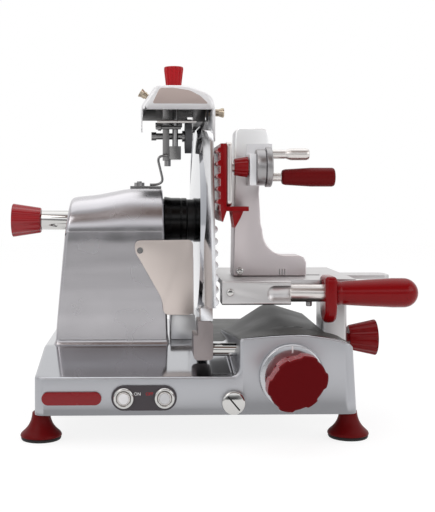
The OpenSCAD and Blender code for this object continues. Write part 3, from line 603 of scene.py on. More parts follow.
# Hub sleeve, switch and power inlet, moulded in polished dies: black with clear highlights.
BLACK = Finish("gloss_black_moulding", "#070708", 0.0, 0.22, Grain.MOULDED, 2.5, 0.004, 0.1, 0.04, gloss=0.22)
# Steel with a black oxide skin.
BLACKENED = Finish("blackened_steel", "#121213", 0.0, 0.35, Grain.CAST, 1.2, 0.006, 0.1, 0.05, gloss=0.3)
# Polycarbonate overlay with a fine texture: dull dark grey.
GREY_PANEL = Finish("textured_grey_overlay", "#464145", 0.0, 0.5, Grain.MOULDED, 0.7, 0.012, 0.04, 0.05, gloss=0.3)
# Button caps of white and of grey ABS, with a low sheen.
WHITE = Finish("moulded_white_button", "#e9e9ea", 0.0, 0.3, Grain.MOULDED, 1.2, 0.006, 0.02, 0.03)
GREY = Finish("moulded_grey_button", "#cfd0d2", 0.0, 0.3, Grain.MOULDED, 1.2, 0.006, 0.02, 0.03)
# Moulded rubber: black, matt and a little grainy.
RUBBER = Finish("moulded_black_rubber", "#141313", 0.0, 0.75, Grain.GRIT, 0.9, 0.03, 0.1, 0.05)
# Stacked motor iron: dull, dark and uneven.
IRON = Finish("motor_iron", "#4a4a4d", 1.0, 0.5, Grain.CAST, 1.0, 0.03, 0.1, 0.08)
# Bonded abrasive: matt grey grit.
STONE = Finish("grey_grinding_stone", "#5c5c5e", 0.0, 0.9, Grain.GRIT, 0.8, 0.12, 0.15, 0.05)
# Screen-printed ink: flat and white.
INK = Finish("white_index_ink", "#f2f2f2", 0.0, 0.5, Grain.MOULDED, 1.0, 0.002, 0.01, 0.02)


@dataclass
class Drawing:
    """Where the drawing's millimetres lie in the frame's metres.

    Attributes:
        frame: what the frame's loader returned.
        shift: place of the drawing's zero point.
        made: materials made so far, by finish.
    """

    frame: dict
    shift: np.ndarray
    made: dict

    @classmethod
    def of(cls, frame: dict) -> "Drawing":
        """Reads the zero point off the base casting, whose lowest left front corner is known in the drawing."""
        lo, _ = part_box("base_casting")
        return cls(frame, np.array(lo) - BASE_CORNER * MM, {})

    @property
    def ground(self) -> float:
        """Height of the floor in the drawing."""
        return float(-self.shift[2] / MM)

    def row(self, points: Points) -> np.ndarray:
        """Drawing points in the frame's metres."""
        return np.asarray(points, float) * MM + self.shift

    def material(self, finish: Finish) -> bpy.types.Material:
        """The material of a finish, made at its first use.

        Args:
            finish: the finish.

        Returns:
            Its material.
        """
        if finish not in self.made:
            self.made[finish] = finish.material(self)
        return self.made[finish]

    def finish(self, obj: bpy.types.Object, finish: Finish) -> None:
        """Gives an object one finish."""
        obj.data.materials.clear()
        obj.data.materials.append(self.material(finish))

    def second(self, obj: bpy.types.Object, finish: Finish,
               where: Callable[[np.ndarray, np.ndarray], np.ndarray]) -> None:
        """Gives some faces of an object a second finish.

        Args:
            obj: the object.
            finish: the second finish.
            where: from the faces' middles in drawing millimetres and their normals, which faces get it.
        """
        faces = obj.data.polygons
        spots, normals = np.zeros(len(faces) * 3), np.zeros(len(faces) * 3)
        faces.foreach_get("center", spots)
        faces.foreach_get("normal", normals)
        spots = (spots.reshape(-1, 3) - self.shift) / MM
        obj.data.materials.append(self.material(finish))
        faces.foreach_set("material_index", where(spots, normals.reshape(-1, 3)).astype(np.int32))

    def wall(self, obj: bpy.types.Object, thickness: float, inside: Optional[Finish] = None) -> None:
        """Gives an open skin a wall that grows inwards.

        Args:
            obj: the skin.
            thickness: the wall's thickness in millimetres.
            inside: finish of the inner side, where it differs.
        """
        shell = obj.modifiers.new("wall", "SOLIDIFY")
        shell.thickness, shell.offset = thickness * MM, -1.0
        if inside:
            obj.data.materials.append(self.material(inside))
            shell.material_offset = 1

    def piece(self, name: str, surface: Surface, finish: Finish, body: str,
              replaces: Sequence[str] = (), sharp: float = 35.0) -> bpy.types.Object:
        """Makes an object of a surface and hangs it on a body.

        Args:
            name: the piece's name.
            surface: its mesh in drawing millimetres.
            finish: its finish.
            body: body that it rides on.
            replaces: solids that it stands for.
            sharp: angle in degrees above which an edge stays sharp.

        Returns:
            The object.
        """
        mesh = bpy.data.meshes.new(name)
        mesh.from_pydata(self.row(surface.verts).tolist(), [], surface.faces)
        work = bmesh.new()
        work.from_mesh(mesh)
        bmesh.ops.remove_doubles(work, verts=work.verts, dist=MERGE)
        bmesh.ops.dissolve_degenerate(work, edges=work.edges, dist=SHORTEST)
        bmesh.ops.recalc_face_normals(work, faces=work.faces)
        if work.calc_volume(signed=True) < 0:
            bmesh.ops.reverse_faces(work, faces=work.faces)
        work.to_mesh(mesh)
        work.free()
        return self.hang(name, mesh, finish, body, replaces, sharp)

    def softened(self, node: str, edge: float, finish: Finish, body: str) -> bpy.types.Object:
        """A copy of a solid with its loose triangles joined and its edges rounded by a bevel.

        Args:
            node: the solid.
            edge: width of the bevel in millimetres.
            finish: its finish.
            body: body that it rides on.

        Returns:
            The object, which stands for the solid.
        """
        work = bmesh.new()
        work.from_mesh(self.frame["nodes"][node].data)
        bmesh.ops.remove_doubles(work, verts=work.verts, dist=COPY_MERGE)
        bmesh.ops.dissolve_limit(work, angle_limit=math.radians(FLAT_DEG), verts=work.verts, edges=work.edges)
        mesh = bpy.data.meshes.new(node + "_dressed")
        work.to_mesh(mesh)
        work.free()
        obj = self.hang(node + "_dressed", mesh, finish, body, (node,), 180.0)
        bevel = obj.modifiers.new("edge", "BEVEL")
        bevel.width, bevel.segments = edge * MM, BEVEL_STEPS
        bevel.limit_method, bevel.angle_limit = "ANGLE", math.radians(BEVEL_DEG)
        bevel.harden_normals = True
        return obj

    def hang(self, name: str, mesh: bpy.types.Mesh, finish: Finish, body: str,
             replaces: Sequence[str], sharp: float) -> bpy.types.Object:
        """Links a mesh as an object, with smooth shading between its sharp edges.

        Args:
            name: the piece's name.
            mesh: its mesh in the frame's metres.
            finish: its finish.
            body: body that it rides on.
            replaces: solids that it stands for.
            sharp: angle in degrees above which an edge stays sharp.

        Returns:
            The object.
        """
        mesh.shade_smooth()
        mesh.set_sharp_from_angle(angle=math.radians(sharp))
        obj = bpy.data.objects.new(name, mesh)
        bpy.context.scene.collection.objects.link(obj)
        self.finish(obj, finish)
        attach(obj, body)
        if replaces:
            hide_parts(*replaces)
        LOG.info("piece %s on %s, %d faces", name, body, len(mesh.polygons))
        return obj


@dataclass
class CastBase:
    """Base casting: a low deck on the left, a raised panel on the right and a roof that falls away behind it.

    The bell of a foot has shares of its height with the radius at each, its pad has heights above the floor, and the
    print of a word has its size, its depth and its place in Y and Z.
    """

    left: float = float(BASE_CORNER[0])
    right: float = 226.0
    depth: float = 340.0
    bottom: float = 37.0
    deck_front: float = 77.6
    deck_back: float = 95.0
    slope_end: float = 106.0
    step_x: float = 100.0
    step_lean: float = 4.0
    step_fillet: float = 10.0
    step_edge: float = 4.0
    panel_right: float = 222.0
    recess_x: float = 199.0
    recess_y: tuple = (45.0, 300.0)
    recess_bottom: float = 51.0
    roof_end: float = 195.0
    edge: float = 3.4
    corner: float = 10.0
    wall: float = 4.5
    cap_at: tuple = (93.5, 50.0)
    cap_face: float = -4.0
    cap_rim: tuple = ((12.6, 1.6), (12.0, 0.6))
    cap_dome: tuple = (11.0, 1.5)
    slot_half: tuple = (9.6, 0.8)
    slot_turn: tuple = (0.64, 0.77)
    lean: float = 0.5
    end_zone: float = 12.0
    recess_lip: float = 2.0
    shade_from: tuple = (74.0, 130.0, 100.0)
    front_line: tuple = ((100, 118), (136, 120.6), (170, 121.6), (194, 118.4), (213, 114), (218.6, 110), (222, 104))
    rear_line: tuple = ((96, 98), (152, 134), (214, 115), (222, 112))
    line_blur: tuple = (5.0, 9.0)
    foot_x: tuple = (-112.0, 220.5)
    foot_y: tuple = (25.0, 315.0)
    bell: tuple = ((0.0, 22.25), (0.08, 22.25), (0.16, 20.75), (0.27, 17.25), (0.43, 13.65), (0.61, 11.25), (0.8, 9.95),
                   (1.0, 9.45))
    stud: tuple = (2.5, 15.0)
    pad: tuple = ((0, 0), (20.6, 0), (21.6, 1.7), (21.6, 3.5), (0, 3.5))
    label: tuple = (-109, -46, 48, 62)
    label_y: tuple = (-1.2, 0.0)
    overlay: tuple = (-35.5, 33.4, 42.3, 68.7)
    overlay_y: tuple = (-2.0, 0.0)
    button_x: tuple = (-22.7, 20.5)
    button_z: float = 55.5
    ring: tuple = ((7.6, -2), (11, -2), (11, -3.4), (10, -4.6), (8.8, -5), (7.6, -4.4), (7.6, -2))
    button: tuple = ((0, 18), (4, 18), (4, 1), (5.7, 1), (5.7, -5.6), (5.2, -6.4), (3.6, -6.3), (0, -6.0))
    collar: tuple = ((5.75, -1), (7.2, -1), (7.2, -5.0), (6.9, -5.6), (6.5, -5.7), (6.4, -5.0), (5.75, -5.0),
                     (5.75, -1))
    words: tuple = (("on_word", "ON", -8.2, INK), ("off_word", "OFF", 4.6, RED_LIT_AND_PRINT))
    print_at: tuple = (4.6, 0.05, -2.04, 58.5)

    def deck(self, y: float) -> float:
        """Height of the deck, which rises evenly from the front edge to the motor housing."""
        share = np.clip((y - self.edge) / (self.slope_end - self.edge), 0, 1)
        return self.deck_front + (self.deck_back - self.deck_front) * share

    def roof(self, x: np.ndarray, y: float) -> np.ndarray:
        """Height of the roof: a straight blend of the panel's top line and the rear hump."""
        t, (front, rear) = min(y / self.roof_end, 1.0), self.line_blur
        return (1 - t) * smooth_line(x, self.front_line, front) + t * smooth_line(x, self.rear_line, rear)

    def section(self, y: float, raised: bool, open_side: bool) -> np.ndarray:
        """Section of the casting across X at one depth.

        Close to an end, the side walls follow a quarter circle of the corner's radius in plan, and the top
        drops along a quarter circle of the edge's radius.

        Args:
            y: depth.
            raised: whether the roof stands here.
            open_side: whether the carriage recess cuts the right side here.

        Returns:
            The [x, y, z] points from the left foot over the top to the right foot.
        """
        near = min(y, self.depth - y)
        inset = self.corner - math.sqrt(self.corner**2 - max(self.corner - near, 0.0) ** 2)
        drop = self.edge - math.sqrt(self.edge**2 - max(self.edge - near, 0.0) ** 2)
        deck, left = self.deck(y) - drop, self.left + inset
        step = self.step_x - self.step_lean * min(y / self.roof_end, 1.0) + drop
        top = float(self.roof(np.array([step + self.step_edge]), y)[0]) - drop if raised else deck
        rise = max(top - deck, 0.0)
        fillet, edge = min(self.step_fillet, 0.5 * rise), min(self.step_edge, 0.4 * rise)
        end = self.recess_x if open_side else (self.panel_right if raised else self.right) - inset
        foot = self.recess_x if open_side else self.right - inset
        low = self.recess_bottom if open_side else self.bottom
        lip = self.recess_lip if open_side else self.edge
        a = np.linspace(0, QUARTER, 8)
        cross = np.linspace(step + edge, end - lip, 40)
        over = self.roof(cross, y) - drop if raised else np.full_like(cross, deck)
        last = over[-1] - lip
        rows = [
            (np.full(6, left), np.linspace(self.bottom, deck - self.edge, 6)),
            (left + self.edge * (1 - np.cos(a)), deck - self.edge * (1 - np.sin(a))),
            (np.linspace(left + self.edge, step - fillet, 16), np.full(16, deck)),
            (step - fillet * (1 - np.sin(a)), deck + fillet * (1 - np.cos(a))),
            (np.full(5, step), np.linspace(deck + fillet, top - edge, 5)),
            (step + edge * (1 - np.cos(a)), top - edge * (1 - np.sin(a))),
            (cross, over),
            (end - lip * (1 - np.sin(a)), last + lip * np.cos(a)),
            (np.linspace(end, foot, 6), np.linspace(last, low, 6)),
        ]
        x, z = (np.concatenate(c) for c in zip(*rows))
        return np.stack([x, np.full(len(x), y), z], -1)

    def surface(self) -> Surface:
        """Sections from the front face to the rear face, joined into one skin that is open below.

        Where the section changes, the wall between leans a little, so that no face has two coinciding edges.

        Returns:
            The skin.
        """
        start, stop = self.recess_y
        turn = self.corner * (1 - np.cos(np.linspace(0, QUARTER, 14)))
        spans = [
            (turn, True, False),
            (np.linspace(self.end_zone, start, 8), True, False),
            (np.linspace(start + self.lean, self.roof_end, 26), True, True),
            (np.linspace(self.roof_end + self.lean, stop, 8), False, True),
            (np.linspace(stop + self.lean, self.depth - self.end_zone, 4), False, False),
            (self.depth - turn[::-1], False, False),
        ]
        rows = [self.section(float(y), raised, side) for stations, raised, side in spans for y in stations]
        faces = [rows[0].copy(), rows[-1].copy()]
        for face in faces:
            face[:, 2] = self.bottom
        return Surface.grid(np.stack([faces[0], *rows, faces[1]]))

    def under_table_shade(self, spots: np.ndarray, normals: np.ndarray) -> np.ndarray:
        """Which faces get the dark finish as painted shade: those that look up under the table and behind the blade.

        Args:
            spots: middles of the faces in drawing millimetres.
            normals: normals of the faces.

        Returns:
            True for each face that gets the painted shade.
        """
        x, y, z = self.shade_from
        far = (spots[:, 1] > y) | ((spots[:, 2] > z) & (spots[:, 1] > self.edge))
        return far & (spots[:, 0] > x) & (normals[:, 2] > LOOKS_UP[0])

    def build(self, drawing: Drawing) -> None:
        """Makes the casting, its feet, its plates and its rail cap.

        Args:
            drawing: where the pieces go.
        """
        skin = drawing.piece("base_skin", self.surface(), CAST, "frame", ("base_casting",),
                             sharp=40)
        drawing.wall(skin, self.wall)
        # The roof under the table and behind the blade gets a dark finish: painted shade.
        drawing.second(skin, SHADED_CAST, self.under_table_shade)
        self.feet(drawing)
        self.plates(drawing)
        self.rail_cap(drawing)
        for name, word, x, finish in self.words:
            self.word(drawing, name, word, x, finish)

    def feet(self, drawing: Drawing) -> None:
        """Makes the four bell feet and their pads from turned profiles.

        Args:
            drawing: where the pieces go.
        """
        spots = [(x, y, 0.0) for x in self.foot_x for y in self.foot_y]
        pad = np.array(self.pad) + [0, drawing.ground]
        sole, top = float(pad[-1, 1]), self.bottom
        share, reach = np.array(self.bell).T
        flank = np.stack([reach, sole + share * (top - sole)], -1)
        stud_r, stud_h = self.stud
        bell = np.concatenate([[(0, sole)], flank, [(stud_r, top), (stud_r, top + stud_h), (0, top + stud_h)]])
        feet = turned(bell, 2.6, Axis.Z, (0, 0)).copies(spots)
        drawing.piece("bell_feet", feet, RED_DARK_AND_SHADED, "frame", ("feet",))
        soles = turned(pad, 0.8, Axis.Z, (0, 0)).copies(spots)
        drawing.piece("foot_soles", soles, RUBBER, "frame", ("foot_pads",))

    def plates(self, drawing: Drawing) -> None:
        """Makes the bare red plate, and the switch overlay with its rings, caps and collars.

        Args:
            drawing: where the pieces go.
        """
        label = prism(stadium(*self.label), Axis.Y, *self.label_y, 0.4)
        drawing.piece("red_plate", label, RED_PLATE, "frame", ("label_plate",))
        overlay = prism(stadium(*self.overlay), Axis.Y, *self.overlay_y, 0.5)
        drawing.piece("switch_overlay", overlay, GREY_PANEL, "frame", ("switch_panel",))
        spots = [(x, 0, self.button_z) for x in self.button_x]
        rings = turned(self.ring, 0.5, Axis.Y, (0, 0)).copies(spots)
        drawing.piece("button_rings", rings, CHROME, "frame", ("button_bezels",))
        buttons = (("on_button", WHITE, "start_button", "white_button"),
                   ("off_button", GREY, "stop_button", "grey_button"))
        for x, (name, finish, body, slot) in zip(self.button_x, buttons):
            at = (x, self.button_z)
            drawing.piece(name + "_cap", turned(self.button, 0.6, Axis.Y, at), finish, body, (name,))
            drawing.piece(name + "_collar", turned(self.collar, 0.2, Axis.Y, at), SATIN, "frame")

    def rail_cap(self, drawing: Drawing) -> None:
        """Makes the slotted cap: the dome's height falls with the square of the distance from its middle.

        Args:
            drawing: where the pieces go.
        """
        (reach, rise), face = self.cap_dome, self.cap_face
        out = 1 - np.linspace(0, 1, 14)
        crown = np.stack([reach * out, face - rise * (1 - out**2)], -1)
        profile = np.concatenate([np.array(self.cap_rim) + [0, face], crown])
        profile = np.concatenate([[(0, 0), (profile[0, 0], 0)], profile])
        cap = turned(profile, 0, Axis.Y, self.cap_at, 128)
        drawing.piece("domed_cap", cap, CHROME, "frame", ("rail_cap",))
        (a, b), (c, s) = self.slot_half, self.slot_turn
        slot = np.array([(-a, -b), (a, -b), (a, b), (-a, b)]) @ np.array([[c, -s], [s, c]])
        # The slot is a blackened strip across the dome: painted shade that stands for its recess.
        slot = prism(slot + np.array(self.cap_at), Axis.Y, face - rise - 0.06, face + 1.0, 0.05)
        drawing.piece("cap_slot_shade", slot, BLACKENED, "frame")

    def word(self, drawing: Drawing, name: str, word: str, x: float, finish: Finish) -> None:
        """Makes a printed generic word, as a thin mesh on the front of the switch overlay.

        Args:
            drawing: where the piece goes.
            name: the piece's name.
            word: the word.
            x: place of its middle.
            finish: its ink.
        """
        size, depth, y, z = self.print_at
        text = bpy.data.curves.new(name, "FONT")
        text.body, text.size, text.extrude = word, size * MM, depth * MM
        text.align_x = "CENTER"
        holder = bpy.data.objects.new(name + "_text", text)
        bpy.context.scene.collection.objects.link(holder)
        bpy.context.view_layer.update()
        mesh = bpy.data.meshes.new_from_object(holder.evaluated_get(bpy.context.evaluated_depsgraph_get()))
        bpy.data.objects.remove(holder)
        flat = np.zeros(len(mesh.vertices) * 3)
        mesh.vertices.foreach_get("co", flat)
        flat = flat.reshape(-1, 3)
        placed = np.stack([flat[:, 0], -flat[:, 2], flat[:, 1]], -1) + drawing.row([(x, y, z)])[0]
        mesh.vertices.foreach_set("co", placed.ravel())
        drawing.hang(name, mesh, finish, "frame", (), 30.0)


@dataclass
class MotorHousing:
    """Motor housing: a round-shouldered box that leans in on the left and carries the hub on its right."""

    floor: float = 95.0
    front: float = 110.0
    back: float = 272.0
    shoulder: tuple = (45.0, 50.0)
    straight: float = 132.0
    height: float = 182.0
    left_line: tuple = ((0, -107), (2, -105.9), (6, -104.6), (25, -103.2), (65, -99.6), (100, -96.4), (130, -93.4),
                        (160, -90.6), (182, -88.6))
    right_line: tuple = ((0, 28.6), (2, 27.6), (6, 26.7), (182, 21))
    top_line: tuple = ((-90, 170), (-84, 172), (-58, 174.5), (-35, 179), (-22, 181.6), (-16, 182), (30, 182))
    top_blur: float = 6.0
    edges: tuple = (5.0, 2.4)
    lip: float = 0.8
    lip_step: float = 0.2
    flare: tuple = (2.0, 6.0)
    sheet: tuple = ((-11.6, 203), (-6.3, 195), (20.3, 147.5), (21.5, 130), (56.6, 130), (55.8, 217.5), (-11.6, 216.5))
    sheet_y: tuple = (103.5, 105.0)
    flap: tuple = ((55.2, 130), (56.6, 130), (56.2, 197.5), (54.8, 197.5))
    flap_y: tuple = (104.6, 117.0)
    latch: tuple = ((6, 282), (15, 282), (20.6, 285), (21.6, 289), (16, 312), (17.6, 316.6), (28, 318.4))
    latch_y: float = 168.8
    latch_r: float = 1.5

    def outline(self) -> np.ndarray:
        """Outline seen along X: up the front to a low lip, over two quarter ellipses, down the back.

        Returns:
            The [y, height] points.
        """
        a, q = np.linspace(0, QUARTER, 24), np.linspace(0, QUARTER, 6)
        (r, rise), s, lip, jog = self.shoulder, self.straight, self.lip, self.lip_step
        out, high = self.flare
        up = np.concatenate([np.linspace(0, high, 6), np.linspace(high, s - lip, 10)[1:]])
        foot = out * np.clip(1 - up / high, 0, 1) ** 2
        y = [self.front - foot, self.front + lip * (1 - np.cos(q)), self.front + lip + (r - lip) * (1 - np.cos(a)),
             np.linspace(self.front + r, self.back - r, 8), self.back - r * (1 - np.sin(a)), self.back + foot[::-1]]
        z = [up, s - lip * (1 - np.sin(q)), s + jog + (rise - jog) * np.sin(a), np.full(8, s + rise),
             s + rise * np.cos(a), up[::-1]]
        return np.stack([np.concatenate(y), np.concatenate(z)], -1)

    def surface(self) -> Surface:
        """The outline carried from left to right, with quarter circles at the end edges and flat ends.

        Above the straight wall, heights are scaled so that the top follows the top line.

        Returns:
            The skin, open below.
        """
        line = self.outline()
        tangent = unit(np.gradient(line, axis=0))
        normal = np.stack([-tangent[:, 1], tangent[:, 0]], -1)
        mid = (self.front + self.back) / 2
        phi = np.linspace(0, QUARTER, 7)
        grow = np.concatenate([np.linspace(0, 0.9, 5), np.ones(7)])[:, None]
        inset = np.concatenate([np.ones(5), 1 - np.sin(phi)])[:, None, None]
        along = np.concatenate([np.zeros(5), 1 - np.cos(phi)])[:, None]
        ends = []
        for wall, edge, inwards in ((self.left_line, self.edges[0], 1), (self.right_line, self.edges[1], -1)):
            y, h = np.moveaxis(line - normal * (edge * inset), -1, 0)
            h = np.maximum(h, 0.0)
            x = np.interp(h, *np.array(wall, float).T) + inwards * edge * along
            ends.append(np.stack([x, mid + grow * (y - mid), h], -1))
        first, last = ends[0][-1], ends[1][-1]
        between = np.repeat(first[None], 24, 0)
        between[..., 0] += (last[:, 0] - first[:, 0]) * np.linspace(0, 1, 26)[1:-1, None]
        verts = np.concatenate([ends[0], between, ends[1][::-1]])
        above = np.maximum(verts[..., 2] - self.straight, 0.0)
        top = smooth_line(verts[..., 0], self.top_line, self.top_blur)
        lift = (top - self.straight) / (self.height - self.straight)
        verts[..., 2] = self.floor + verts[..., 2] - above + above * lift
        return Surface.grid(verts)

    def build(self, drawing: Drawing) -> None:
        """Makes the housing, the slice deflector and the latch on top.

        Args:
            drawing: where the pieces go.
        """
        drawing.piece("housing_shell", self.surface(), GROUND, "frame", ("motor_housing",),
                      sharp=40)
        plate = prism(rounded(self.sheet, 7), Axis.Y, *self.sheet_y, 0.35)
        plate = plate.joined(prism(rounded(self.flap, 0.5), Axis.Y, *self.flap_y, 0.3))
        drawing.piece("deflector_sheet", plate, SHEET, "frame", ("slice_deflector",))
        path = distinct(rounded(self.latch, 4, closed=False, steps=9))
        rod = wire(path, self.latch_y, self.latch_r)
        drawing.piece("latch_rod", rod, DARK_STEEL, "frame", ("latch_wire",))


@dataclass
class BladeUnit:
    """The blade, its hub sleeve, and the tie rod's cone knob on the far side of the housing."""

    ring: tuple = ((12, 57), (40, 57), (112, 63), (124.8, 74), (125, 74.3), (124.8, 74.6), (112, 68), (40, 61),
                   (12, 61), (12, 57))
    sleeve: tuple = ((21, 15), (27, 15), (27, 24), (29.2, 24), (29.2, 26), (28, 33), (27.9, 43.6), (27.4, 44),
                     (27.4, 45), (27.8, 45.4), (27.8, 51), (26.8, 52), (21, 52), (21, 15))
    knob: tuple = ((0, -150), (6, -150), (6, -129), (15.6, -129), (21, -164.5), (0, -164.5))
    knob_grooves: tuple = (9, 0.07, -163.6, -129.4)

    def build(self, drawing: Drawing) -> None:
        """Makes the three turned pieces.

        Args:
            drawing: where the pieces go.
        """
        at = (AXIS_Y, AXIS_Z)
        disc = turned(self.ring, 0, Axis.X, at, 256)
        drawing.piece("blade_disc", disc, BLADE_STEEL, "blade_unit", ("blade",), sharp=20)
        sleeve = turned(self.sleeve, 0.6, Axis.X, at, 128)
        drawing.piece("hub_moulding", sleeve, BLACK, "frame", ("hub_sleeve",))
        cone = turned(self.knob, 1.8, Axis.X, at, 192, flutes(*self.knob_grooves))
        # The cone's brighter red is painted light from above.
        drawing.piece("tie_cone", cone, RED_LIT_POLISHED, "tie", ("tie_rod_knob",))


@dataclass
class ThicknessControl:
    """Index disc with its white mark, and the lobed knob in front of it."""

    lobes: int = 6
    turn_deg: float = 36.0
    radius: float = 33.2
    neck: float = 22.4
    notch: float = 2.0
    rib: float = 0.6
    crisp: float = 5.0
    plain: tuple = (12.0, 20.0)
    across: float = 26.0
    head_from: float = -15.5
    face: float = -47.0
    disc: tuple = ((8, 0), (34.6, 0), (34.6, -3.4), (33.0, -5.2), (29, -6), (8, -6), (8, 0))
    mark: tuple = ((-0.8, 25.6), (0.8, 25.6), (0.8, 32.6), (-0.8, 32.6))
    mark_y: tuple = (-6.15, -5.0)
    shaded_facing: float = -0.25

    def grip(self, angle: np.ndarray, station: np.ndarray, radius: np.ndarray) -> np.ndarray:
        """Radius of the knob: an oval head of six lobes with steps between them, on a ribbed round neck.

        The oval is that of an ellipse, 1 / sqrt(cos^2 + (sin / ratio)^2). A step is half of 1 + tanh(5 cos(6 angle)),
        which is 0 on a lobe and 1 between two lobes, and it fades out over the plain middle of the face.

        Args:
            angle: angles round the axis.
            station: places along the axis.
            radius: the profile's radius.

        Returns:
            The radius of each point.
        """
        turned_by = angle - math.radians(self.turn_deg)
        head = station < self.head_from
        step = 0.5 + 0.5 * np.tanh(self.crisp * np.cos(self.lobes * turned_by))
        ratio = np.where(head, self.across / self.radius, 1.0)
        oval = 1 / np.sqrt(np.cos(turned_by) ** 2 + (np.sin(turned_by) / ratio) ** 2)
        inner, outer = self.plain
        depth = np.where(head, self.notch, self.rib) * np.clip((radius - inner) / (outer - inner), 0, 1)
        return radius * oval - depth * step

    def build(self, drawing: Drawing) -> None:
        """Makes the disc, its mark and the knob, whose face is left matt and given a darker red as painted shade, while
        the rest of the knob gets a brighter red as painted light.

        Args:
            drawing: where the pieces go.
        """
        at = (DIAL_X, DIAL_Z)
        disc = turned(self.disc, 0.6, Axis.Y, at, 160)
        drawing.piece("index_disc", disc, DIAL_STEEL, "frame", ("index_dial",))
        mark = prism(rounded(np.array(self.mark) + at, 0.3), Axis.Y, *self.mark_y, 0.08)
        drawing.piece("index_mark", mark, INK, "frame")
        r, neck, face = self.radius, self.neck, self.face
        profile = [(0, -6.4), (neck, -6.4), (neck, -13), (neck + 1, -15), (r - 1, -19), (r, -24), (r, face + 3),
                   (r - 1, face + 0.8), (r - 3, face), (16, face), (0, face)]
        knob = turned(profile, 1.2, Axis.Y, at, 360, self.grip, 4)
        head = drawing.piece("lobed_knob", knob, RED_LIT_POLISHED, "thickness_control", ("thickness_knob",),
                             sharp=50)
        # Faces that look to the front get the darker red: painted shade.
        drawing.second(head, RED_SHADED_MATT, lambda spots, normals: normals[:, 1] < self.shaded_facing)


